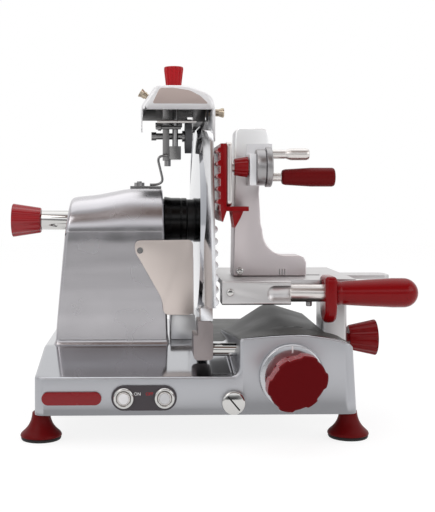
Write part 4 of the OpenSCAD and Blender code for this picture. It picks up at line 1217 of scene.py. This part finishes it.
@dataclass
class Carriage:
    """Hand guard, grip and lock knob of the carriage, and the pusher's handles on its column."""

    tube_y: float = 28.0
    tube_z: float = 163.0
    shield_x: tuple = (193.0, 206.0)
    shield_half: float = 19.0
    shield_z: tuple = (149.6, 182.0)
    grip_x: tuple = (206.0, 297.0)
    grip_r: float = 16.0
    grip_neck: tuple = ((0, 0), (13.4, 0), (13.4, 4), (12.4, 6.6), (13.2, 12))
    lock: tuple = ((0, 217), (5, 217), (5, 237), (14, 237), (21, 269), (0, 269))
    lock_at: tuple = (105.0, 103.0)
    lock_grooves: tuple = (12, 0.08, 237.6, 268.6)
    bolt: tuple = ((0, 18.0), (4.2, 18.0), (4.2, 16.6), (3.2, 15.2), (0, 14.8))
    bolt_at: tuple = (91.5, TABLE_Z - 12.5)
    stop: tuple = ((0, 153.6), (3.2, 153.6), (3.2, 149.4), (2.6, 148.8), (0, 148.8))
    stop_x: float = 178.0
    screw: tuple = ((0, 75.2), (4.4, 75.2), (4.4, 74.2), (3.4, 73.4), (1.6, 73.2), (1.4, 73.9), (0, 73.9))
    screw_at: tuple = (107.3, 183.0)
    slot: tuple = ((-0.5, 178.4), (0.5, 178.4), (0.5, 185.6), (-0.5, 185.6))
    slot_x: tuple = (152.5, 155.5, 158.5)
    slot_y: tuple = (74.9, 75.4)
    cone: tuple = ((5.05, 97.4), (9, 97.4), (11.4, 112.6), (5.05, 112.6), (5.05, 97.4))
    cone_grooves: tuple = (10, 0.08, 97.8, 112.2)
    crank: tuple = ((0, 132.4), (4.5, 132.4), (4.5, 150), (7.4, 150), (8.6, 153), (9.4, 166), (10.4, 182),
                    (10.4, 206), (9, 208), (0, 208))
    stem: tuple = ((0, 137), (4.7, 137), (4.7, 149.6), (0, 149.6))
    crank_at: tuple = (PUSH_Y, PUSH_Z - 11)
    lever: tuple = ((0, 132.4), (4, 132.4), (4, 138.8), (5, 138.8), (5, 153), (4.6, 154), (5.8, 157), (6.6, 160),
                    (6.6, 177), (5.4, 180), (0, 180))
    lever_at: tuple = (PUSH_Y, PUSH_Z + 14)

    def build(self, drawing: Drawing) -> None:
        """Makes the red guard, the grip with its domed end, the lock knob and the small screws.

        Args:
            drawing: where the pieces go.
        """
        y, half, (centre, top) = self.tube_y, self.shield_half, self.shield_z
        bow = np.linspace(math.pi, ROUND, 25)
        belly = np.stack([y + half * np.cos(bow), centre + half * np.sin(bow)], -1)
        shield = rounded(np.concatenate([belly, [(y + half, top), (y - half, top)]]), 6)
        drawing.piece("guard_shield", prism(shield, Axis.X, *self.shield_x, 4.4, 7), RED, "carriage",
                      ("hand_guard",))
        (x0, x1), r = self.grip_x, self.grip_r
        dome = np.linspace(0, QUARTER, 14)
        tip = np.stack([r * np.cos(dome), x1 - r + r * np.sin(dome)], -1)
        neck = np.concatenate([np.array(self.grip_neck) + [0, x0], [(r, x1 - r - 12)]])
        profile = np.concatenate([rounded(neck, 2.0, closed=False), tip])
        drawing.piece("grip_handle", turned(profile, 0, Axis.X, (y, self.tube_z), 128), RED, "carriage",
                      ("grip",))
        lock = turned(self.lock, 1.6, Axis.X, self.lock_at, 192, flutes(*self.lock_grooves))
        drawing.piece("lock_cone", lock, RED, "carriage_lock", ("lock_knob",))
        bolt = turned(self.bolt, 0.6, Axis.Y, self.bolt_at, 48)
        drawing.piece("bar_bolt", bolt, CHROME, "carriage")
        stop = turned(self.stop, 0.4, Axis.Z, (self.stop_x, y), 48)
        drawing.piece("tube_screw", stop, DARK_STEEL, "carriage")
        self.column_marks(drawing)
        self.handles(drawing)

    def column_marks(self, drawing: Drawing) -> None:
        """Makes the screw at the foot of the column and the three slots beside it, drawn as dark strips: painted shade
        that stands for their recesses.

        Args:
            drawing: where the pieces go.
        """
        screw = turned(self.screw, 0.4, Axis.Y, self.screw_at, 48)
        drawing.piece("column_screw", screw, CHROME, "holder")
        # The slots are dark strips on the face: painted shade for their recesses.
        slot = prism(rounded(self.slot, 0.4), Axis.Y, *self.slot_y, 0.1)
        slots = slot.copies([(x, 0, 0) for x in self.slot_x])
        drawing.piece("column_slot_shades", slots, DARK_STEEL, "holder")

    def handles(self, drawing: Drawing) -> None:
        """Makes the gripper's cone knob, the red crank handle and the chrome lever.

        Args:
            drawing: where the pieces go.
        """
        cone = turned(self.cone, 0.9, Axis.X, (PUSH_Y, PUSH_Z), 160, flutes(*self.cone_grooves))
        drawing.piece("gripper_cone", cone, RED, "gripper_screw", ("gripper_knob",))
        crank = turned(self.crank, 1.6, Axis.X, self.crank_at)
        # The crank handle's darker red is painted shade.
        drawing.piece("crank_grip", crank, RED_DARK_AND_SHADED, "crank", ("crank_handle",))
        stem = turned(self.stem, 0.5, Axis.X, self.crank_at, 48)
        drawing.piece("crank_stem", stem, SATIN, "crank")
        lever = turned(self.lever, 1.0, Axis.X, self.lever_at)
        drawing.piece("chrome_lever", lever, SATIN, "lever", ("lever_handle",))


@dataclass
class Sharpener:
    """The sharpener's cover with its inset panel, and the fluted knob on top with its clamping screw.

    Heights in the outlines are counted from the cover's lower edge, and depths from its front.
    """

    knob_at: tuple = (35.0, 165.0)
    front: float = 135.0
    back: float = 245.0
    rim: float = 4.6
    wall: float = 2.4
    roof: tuple = ((-4.7, 0), (-4.7, 4), (12.7, 29), (46, 29), (60, 25.6), (74, 20.2), (80, 15), (82.8, 8), (84, 0))
    panel: tuple = ((8.8, 6.8), (75.7, 6.8), (66, 16), (53.4, 22.4), (36.2, 25.3), (17.6, 25.3))
    panel_y: tuple = (-0.4, 1.2)
    side: tuple = ((0, -24), (60, -24), (60, 1), (0, 1))
    side_x: tuple = (-4.7, -3.1)
    wing: tuple = ((1, -38), (33, -38), (45, -18.5), (110, -18.5), (110, 1), (1, 1))
    wing_x: tuple = (80.6, 84.0)
    rear: tuple = ((-4.4, -5.5), (55.3, -5.5), (55.3, -1), (80.6, -1), (80.6, 9), (-0.5, 9))
    rear_y: tuple = (107.0, 108.5)
    knob: tuple = ((0, 6), (3, 6), (3, 29.4), (9.4, 29.4), (12.0, 51), (11.6, 54), (0, 54))
    knob_grooves: tuple = (14, 0.09, COVER_Z + 29.9, COVER_Z + 52.5)
    upper: tuple = ((0, 14.5), (1.9, 14.5), (1.9, 62), (0, 62))
    upper_at: tuple = (150.0, 357.7)
    lower: tuple = ((0, 13), (2.2, 13), (2.8, 15.4), (4, 16.2), (4, 19.6), (2.3, 20.4), (2.3, 44), (0, 44))
    lower_at: tuple = (165.0, 351.8)

    def shell(self) -> Surface:
        """The cover's outline carried from its front face to its back, with a quarter circle of the rim's radius.

        At both ends the wall drops from the outline straight to the cover's lower edge.

        Returns:
            The skin, open below.
        """
        line = distinct(rounded(self.roof, 5.0, closed=False))
        tangent = unit(np.gradient(line, axis=0))
        normal = np.stack([-tangent[:, 1], tangent[:, 0]], -1)
        phi = np.linspace(0, QUARTER, 9)
        round_in, round_out = self.rim * (1 - np.sin(phi)), self.rim * (1 - np.cos(phi))
        inset = np.concatenate([[self.rim], round_in, np.zeros(4), round_in[::-1], [self.rim]])
        middle = np.linspace(self.front + self.rim, self.back - self.rim, 6)[1:-1]
        depth = np.concatenate([[self.front], self.front + round_out, middle, self.back - round_out[::-1], [self.back]])
        ring = line - normal * inset[:, None, None]
        height = np.maximum(ring[..., 1], 0.0)
        height[[0, -1]] = 0.0
        return Surface.grid(Axis.Y.placed(ring[..., 0], COVER_Z + height, depth[:, None]))

    def skirts(self, drawing: Drawing) -> None:
        """Makes the thin skirts below the cover at the left and at the right, and its dark rear wall.

        Args:
            drawing: where the pieces go.
        """
        corner = [self.front, COVER_Z]
        made = prism(rounded(np.array(self.side) + corner, 3), Axis.X, *self.side_x, 0.3)
        made = made.joined(prism(rounded(np.array(self.wing) + corner, 2), Axis.X, *self.wing_x, 0.6))
        drawing.piece("cover_skirts", made, COVER, "frame")
        wall = prism(np.array(self.rear) + [0, COVER_Z], Axis.Y, *(self.front + y for y in self.rear_y), 0.2)
        drawing.piece("cover_rear", wall, DARK_STEEL, "frame")

    def rods(self, drawing: Drawing) -> None:
        """Makes the two cross rods that tie the hanging arms, and the thumb nut on the lower one.

        Args:
            drawing: where the pieces go.
        """
        upper = turned(self.upper, 0.4, Axis.X, self.upper_at, 32)
        drawing.piece("upper_tie", upper, SATIN, "frame")
        lower = turned(self.lower, 0.5, Axis.X, self.lower_at, 32)
        drawing.piece("lower_tie", lower, DARK_STEEL, "frame")

    def build(self, drawing: Drawing) -> None:
        """Makes the cover, its skirts, its panel, the tie rods and the knob.

        Args:
            drawing: where the pieces go.
        """
        cover = drawing.piece("cover_shell", self.shell(), COVER, "frame", ("sharpener_cover",),
                              sharp=60)
        drawing.wall(cover, self.wall, DARK_STEEL)
        self.skirts(drawing)
        self.rods(drawing)
        inset = rounded(np.array(self.panel) + [0, COVER_Z], 3.0)
        plate = prism(inset, Axis.Y, *(self.front + y for y in self.panel_y), 0.35)
        drawing.piece("inset_panel", plate, PANEL_SHEET, "frame", ("sharpener_panel",))
        grooves = flutes(*self.knob_grooves)
        knob = turned(np.array(self.knob) + [0, COVER_Z], 1.4, Axis.Z, self.knob_at, 196, grooves)
        # The knob's paler red is painted light from above.
        drawing.piece("top_cone", knob, RED_LIT_AND_PRINT, "sharpener_screw", ("sharpener_knob",))


# Solids that keep their shape and get rounded edges: node, edge in millimetres, finish, body, slot.
SOFTENED = (
    ("gauge_block", 2.4, MILLED, "gauge", "cast_aluminium"),
    ("gauge_plate", 0.9, BUFFED, "gauge", "polished_aluminium"),
    ("gauge_shaft", 0.4, CHROME, "gauge", "bright_chrome"),
    ("blade_cover", 1.0, PLATE, "frame", "polished_aluminium"),
    ("blade_guard", 1.6, PLATE, "frame", "polished_aluminium"),
    ("tie_rod", 0.4, CHROME, "tie", "bright_chrome"),
    ("sharpener_frame", 0.6, DARK_STEEL, "frame", "dark_steel"),
    ("latch_plate", 0.5, DARK_STEEL, "frame", "dark_steel"),
    ("table", 1.6, TABLE, "carriage", "polished_aluminium"),
    ("carriage_arm", 1.6, TABLE, "carriage", "cast_aluminium"),
    ("handle_tube", 1.8, SATIN, "carriage", "bright_chrome"),
    ("column", 3.0, COLUMN, "holder", "cast_aluminium"),
    ("clamp_block", 0.8, BLASTED, "holder", "polished_aluminium"),
    ("pusher_plate", 0.9, RED, "holder", "red_plastic"),
    ("backing_plate", 1.8, SATIN, "holder", "bright_chrome"),
    ("crank_disc", 0.8, ANODISED, "crank", "polished_aluminium"),
)
# Solids that stay as they are, mostly inside the machine, with their finish.
BARE = {
    "bottom_cover": DARK_STEEL, "switch_body": BLACK, "power_inlet": BLACK, "rail": CHROME, "cam_spindle": DARK_STEEL,
    "motor_stator": IRON, "rotor": IRON, "drive_belt": RUBBER, "bearings": CHROME, "blade_spindle": BLACKENED,
    "blade_screws": DARK_STEEL, "deflector_screws": DARK_STEEL,
    "grind_spindle": DARK_STEEL, "grind_stone": STONE, "left_push_knob": NICKEL, "right_push_knob": NICKEL,
    "deburr_stone": STONE, "trolley": CAST,
}


@dataclass(frozen=True)
class Band:
    """A level band of the room on the camera's side, as seen from the object.

    Attributes:
        height: height of its middle, from -1 straight down to 1 straight up.
        reach: distances from the middle at which it starts to fade and has gone.
        depth: depths, from -1 at the camera's side to 1 behind, at which it starts to fade and has gone.
        level: its light as a share of the room's.
    """

    height: float
    reach: tuple
    depth: tuple
    level: float


@dataclass
class Studio:
    """Pale floor, soft studio light and the photograph's camera.

    The photograph was taken square to the front from a little left of the middle. A part of that offset is a
    small turn of the camera and the rest is lens shift. A ramp of the room has two places, and the light at each.
    """

    eye: tuple = (0.0, -1000.0, 269.4)
    focal_px: float = 952.0
    centre_px: tuple = (145.0, 195.0)
    turn_deg: float = 1.45
    dip_deg: float = 1.23
    sensor_mm: float = 36.0
    rise: tuple = (-0.2, 0.8, 0.74, 0.98)
    front: tuple = (-0.4, 0.3, 0.74, 1.0)
    dark: tuple = (-0.99, -0.86, 0.14, 1.0)
    dark_top: tuple = (0.05, 0.26, 0.0, 1.0)
    backdrop: tuple = (0.1, 0.4, 0.0, 1.0)
    beam: Band = Band(0.70, (0.08, 0.22), (-0.35, 0.1), 0.38)
    strip: Band = Band(0.33, (0.06, 0.17), (-0.6, 0.0), 2.3)
    room_colour: str = "#f4f5f7"
    beam_colour: str = "#dcb8a8"
    target: tuple = (0.0, 0.0, 0.2)
    lamps: tuple = (("key", (-0.9, -1.0, 1.3), (1.0, 0.8), 5.0), ("fill", (1.3, -0.8, 0.9), (0.9, 0.9), 3.0),
                    ("top", (0.0, 0.25, 1.6), (2.0, 1.3), 5.0))
    floor_reach: float = 4.0
    floor_colour: str = "#f2f2f2"
    floor_glow: float = 1.12
    glow_share: float = 0.75

    def camera(self, drawing: Drawing) -> None:
        """Places the camera and works its shift out from the photograph's own centre.

        Args:
            drawing: where the eye lies in the frame.
        """
        data = bpy.data.cameras.new("camera")
        data.sensor_width = self.sensor_mm
        data.lens = self.focal_px * self.sensor_mm / IMAGE_H
        turn, dip = math.radians(self.turn_deg), math.radians(self.dip_deg)
        data.shift_x = (IMAGE_W / 2 - self.centre_px[0] - self.focal_px * math.tan(turn)) / IMAGE_H
        data.shift_y = -(IMAGE_H / 2 - self.centre_px[1] - self.focal_px * math.tan(dip)) / IMAGE_H
        obj = bpy.data.objects.new("camera", data)
        obj.location = Vector(drawing.row([self.eye])[0])
        obj.rotation_euler = (QUARTER - dip, 0.0, -turn)
        bpy.context.scene.collection.objects.link(obj)
        bpy.context.scene.camera = obj

    def room(self) -> None:
        """Makes a pale room that is dimmer in front than behind.

        It is dark straight behind the camera, with a bright strip above that and a brown beam higher still. Metal and
        glass mirror the white background that stands behind the object.
        """
        world = bpy.data.worlds.new("studio")
        bpy.context.scene.world = world
        world.use_nodes = True
        tree = world.node_tree
        tree.nodes.clear()
        way = add(tree, "ShaderNodeSeparateXYZ", {0: add(tree, "ShaderNodeTexCoord").outputs["Generated"]})
        deep, high = way.outputs[1], way.outputs[2]
        ramps = ((high, *self.rise), (deep, *self.front), (deep, *self.dark), (high, *self.dark_top),
                 (deep, *self.backdrop))
        rise, front, dark, dark_top, backdrop = (
            add(tree, "ShaderNodeMapRange", dict(enumerate(ramp))).outputs[0] for ramp in ramps)
        factors, shares = [rise, front], []
        for band in (self.beam, self.strip):
            off = add(tree, "ShaderNodeMath", {0: high, 1: band.height}, operation="SUBTRACT").outputs[0]
            off = add(tree, "ShaderNodeMath", {0: off}, operation="ABSOLUTE").outputs[0]
            near, ahead = (add(tree, "ShaderNodeMapRange", dict(enumerate((*ramp, 1.0, 0.0)))).outputs[0]
                           for ramp in ((off, *band.reach), (deep, *band.depth)))
            share = add(tree, "ShaderNodeMath", {0: near, 1: ahead}, operation="MULTIPLY").outputs[0]
            shares.append(share)
            factors.append(add(tree, "ShaderNodeMapRange", {0: share, 3: 1.0, 4: band.level}).outputs[0])
        level = add(tree, "ShaderNodeMath", {0: dark, 1: dark_top}, operation="MAXIMUM").outputs[0]
        for factor in factors:
            level = add(tree, "ShaderNodeMath", {0: level, 1: factor}, operation="MULTIPLY").outputs[0]
        links = {0: shares[0], 6: linear(self.room_colour), 7: linear(self.beam_colour)}
        tone = add(tree, "ShaderNodeMix", links, data_type="RGBA").outputs[2]
        room = add(tree, "ShaderNodeBackground", {"Color": tone, "Strength": level})
        white = add(tree, "ShaderNodeBackground", {"Color": (1, 1, 1, 1), "Strength": 1.0})
        path = add(tree, "ShaderNodeLightPath").outputs
        links = {0: path["Is Glossy Ray"], 1: path["Is Transmission Ray"]}
        mirrored = add(tree, "ShaderNodeMath", links, operation="MAXIMUM").outputs[0]
        mirrored = add(tree, "ShaderNodeMath", {0: mirrored, 1: backdrop}, operation="MULTIPLY").outputs[0]
        seen = add(tree, "ShaderNodeMath", {0: path["Is Camera Ray"], 1: mirrored}, operation="MAXIMUM")
        both = add(tree, "ShaderNodeMixShader", {0: seen.outputs[0], 1: room.outputs[0], 2: white.outputs[0]})
        add(tree, "ShaderNodeOutputWorld", {0: both.outputs[0]})

    def light(self) -> None:
        """Hangs the three soft lamps."""
        for name, place, size, power in self.lamps:
            data = bpy.data.lights.new(name, "AREA")
            data.shape, data.size, data.size_y, data.energy = "RECTANGLE", size[0], size[1], power
            lamp = bpy.data.objects.new(name, data)
            lamp.location = place
            lamp.rotation_euler = (Vector(self.target) - Vector(place)).to_track_quat("-Z", "Y").to_euler()
            bpy.context.scene.collection.objects.link(lamp)

    def floor(self) -> None:
        """Lays a pale floor that is seen as near white and keeps a faint shadow."""
        r = self.floor_reach
        mesh = bpy.data.meshes.new("floor")
        mesh.from_pydata([(-r, -r, 0.0), (r, -r, 0.0), (r, r, 0.0), (-r, r, 0.0)], [], [(0, 1, 2, 3)])
        obj = bpy.data.objects.new("floor", mesh)
        bpy.context.scene.collection.objects.link(obj)
        made = bpy.data.materials.new("pale_floor")
        made.use_nodes = True
        tree = made.node_tree
        tree.nodes.clear()
        lit = add(tree, "ShaderNodeBsdfDiffuse", {"Color": linear(self.floor_colour)})
        glow = add(tree, "ShaderNodeEmission", {"Color": (1, 1, 1, 1), "Strength": self.floor_glow})
        path = add(tree, "ShaderNodeLightPath").outputs
        seen = path["Is Camera Ray"]
        for ray in (path["Is Glossy Ray"], path["Is Transmission Ray"]):
            seen = add(tree, "ShaderNodeMath", {0: seen, 1: ray}, operation="MAXIMUM").outputs[0]
        share = add(tree, "ShaderNodeMath", {0: seen, 1: self.glow_share}, operation="MULTIPLY")
        both = add(tree, "ShaderNodeMixShader", {0: share.outputs[0], 1: lit.outputs[0], 2: glow.outputs[0]})
        add(tree, "ShaderNodeOutputMaterial", {0: both.outputs[0]})
        mesh.materials.append(made)

    def build(self, drawing: Drawing) -> None:
        """Sets the view transform, the camera, the room, the lamps and the floor.

        Args:
            drawing: where the camera goes.
        """
        bpy.context.scene.view_settings.view_transform = "Standard"
        self.camera(drawing)
        self.room()
        self.light()
        self.floor()


def dress(drawing: Drawing) -> None:
    """Rounds the edges of the plain solids and gives the rest their finishes.

    Args:
        drawing: where the pieces go.
    """
    for node, edge, finish, body, slot in SOFTENED:
        drawing.softened(node, edge, finish, body)
    for node, finish in BARE.items():
        drawing.finish(drawing.frame["nodes"][node], finish)


def main() -> None:
    """Loads the frame, builds every sub-assembly and notes the sizes."""
    logging.basicConfig(level=logging.INFO, format="%(name)s: %(message)s")
    for obj in list(bpy.data.objects):
        bpy.data.objects.remove(obj)
    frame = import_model()
    drawing = Drawing.of(frame)
    Studio().build(drawing)
    for part in (CastBase(), MotorHousing(), BladeUnit(), ThicknessControl(), Carriage(), Sharpener()):
        part.build(drawing)
    dress(drawing)


if __name__ == "__main__":
    main()
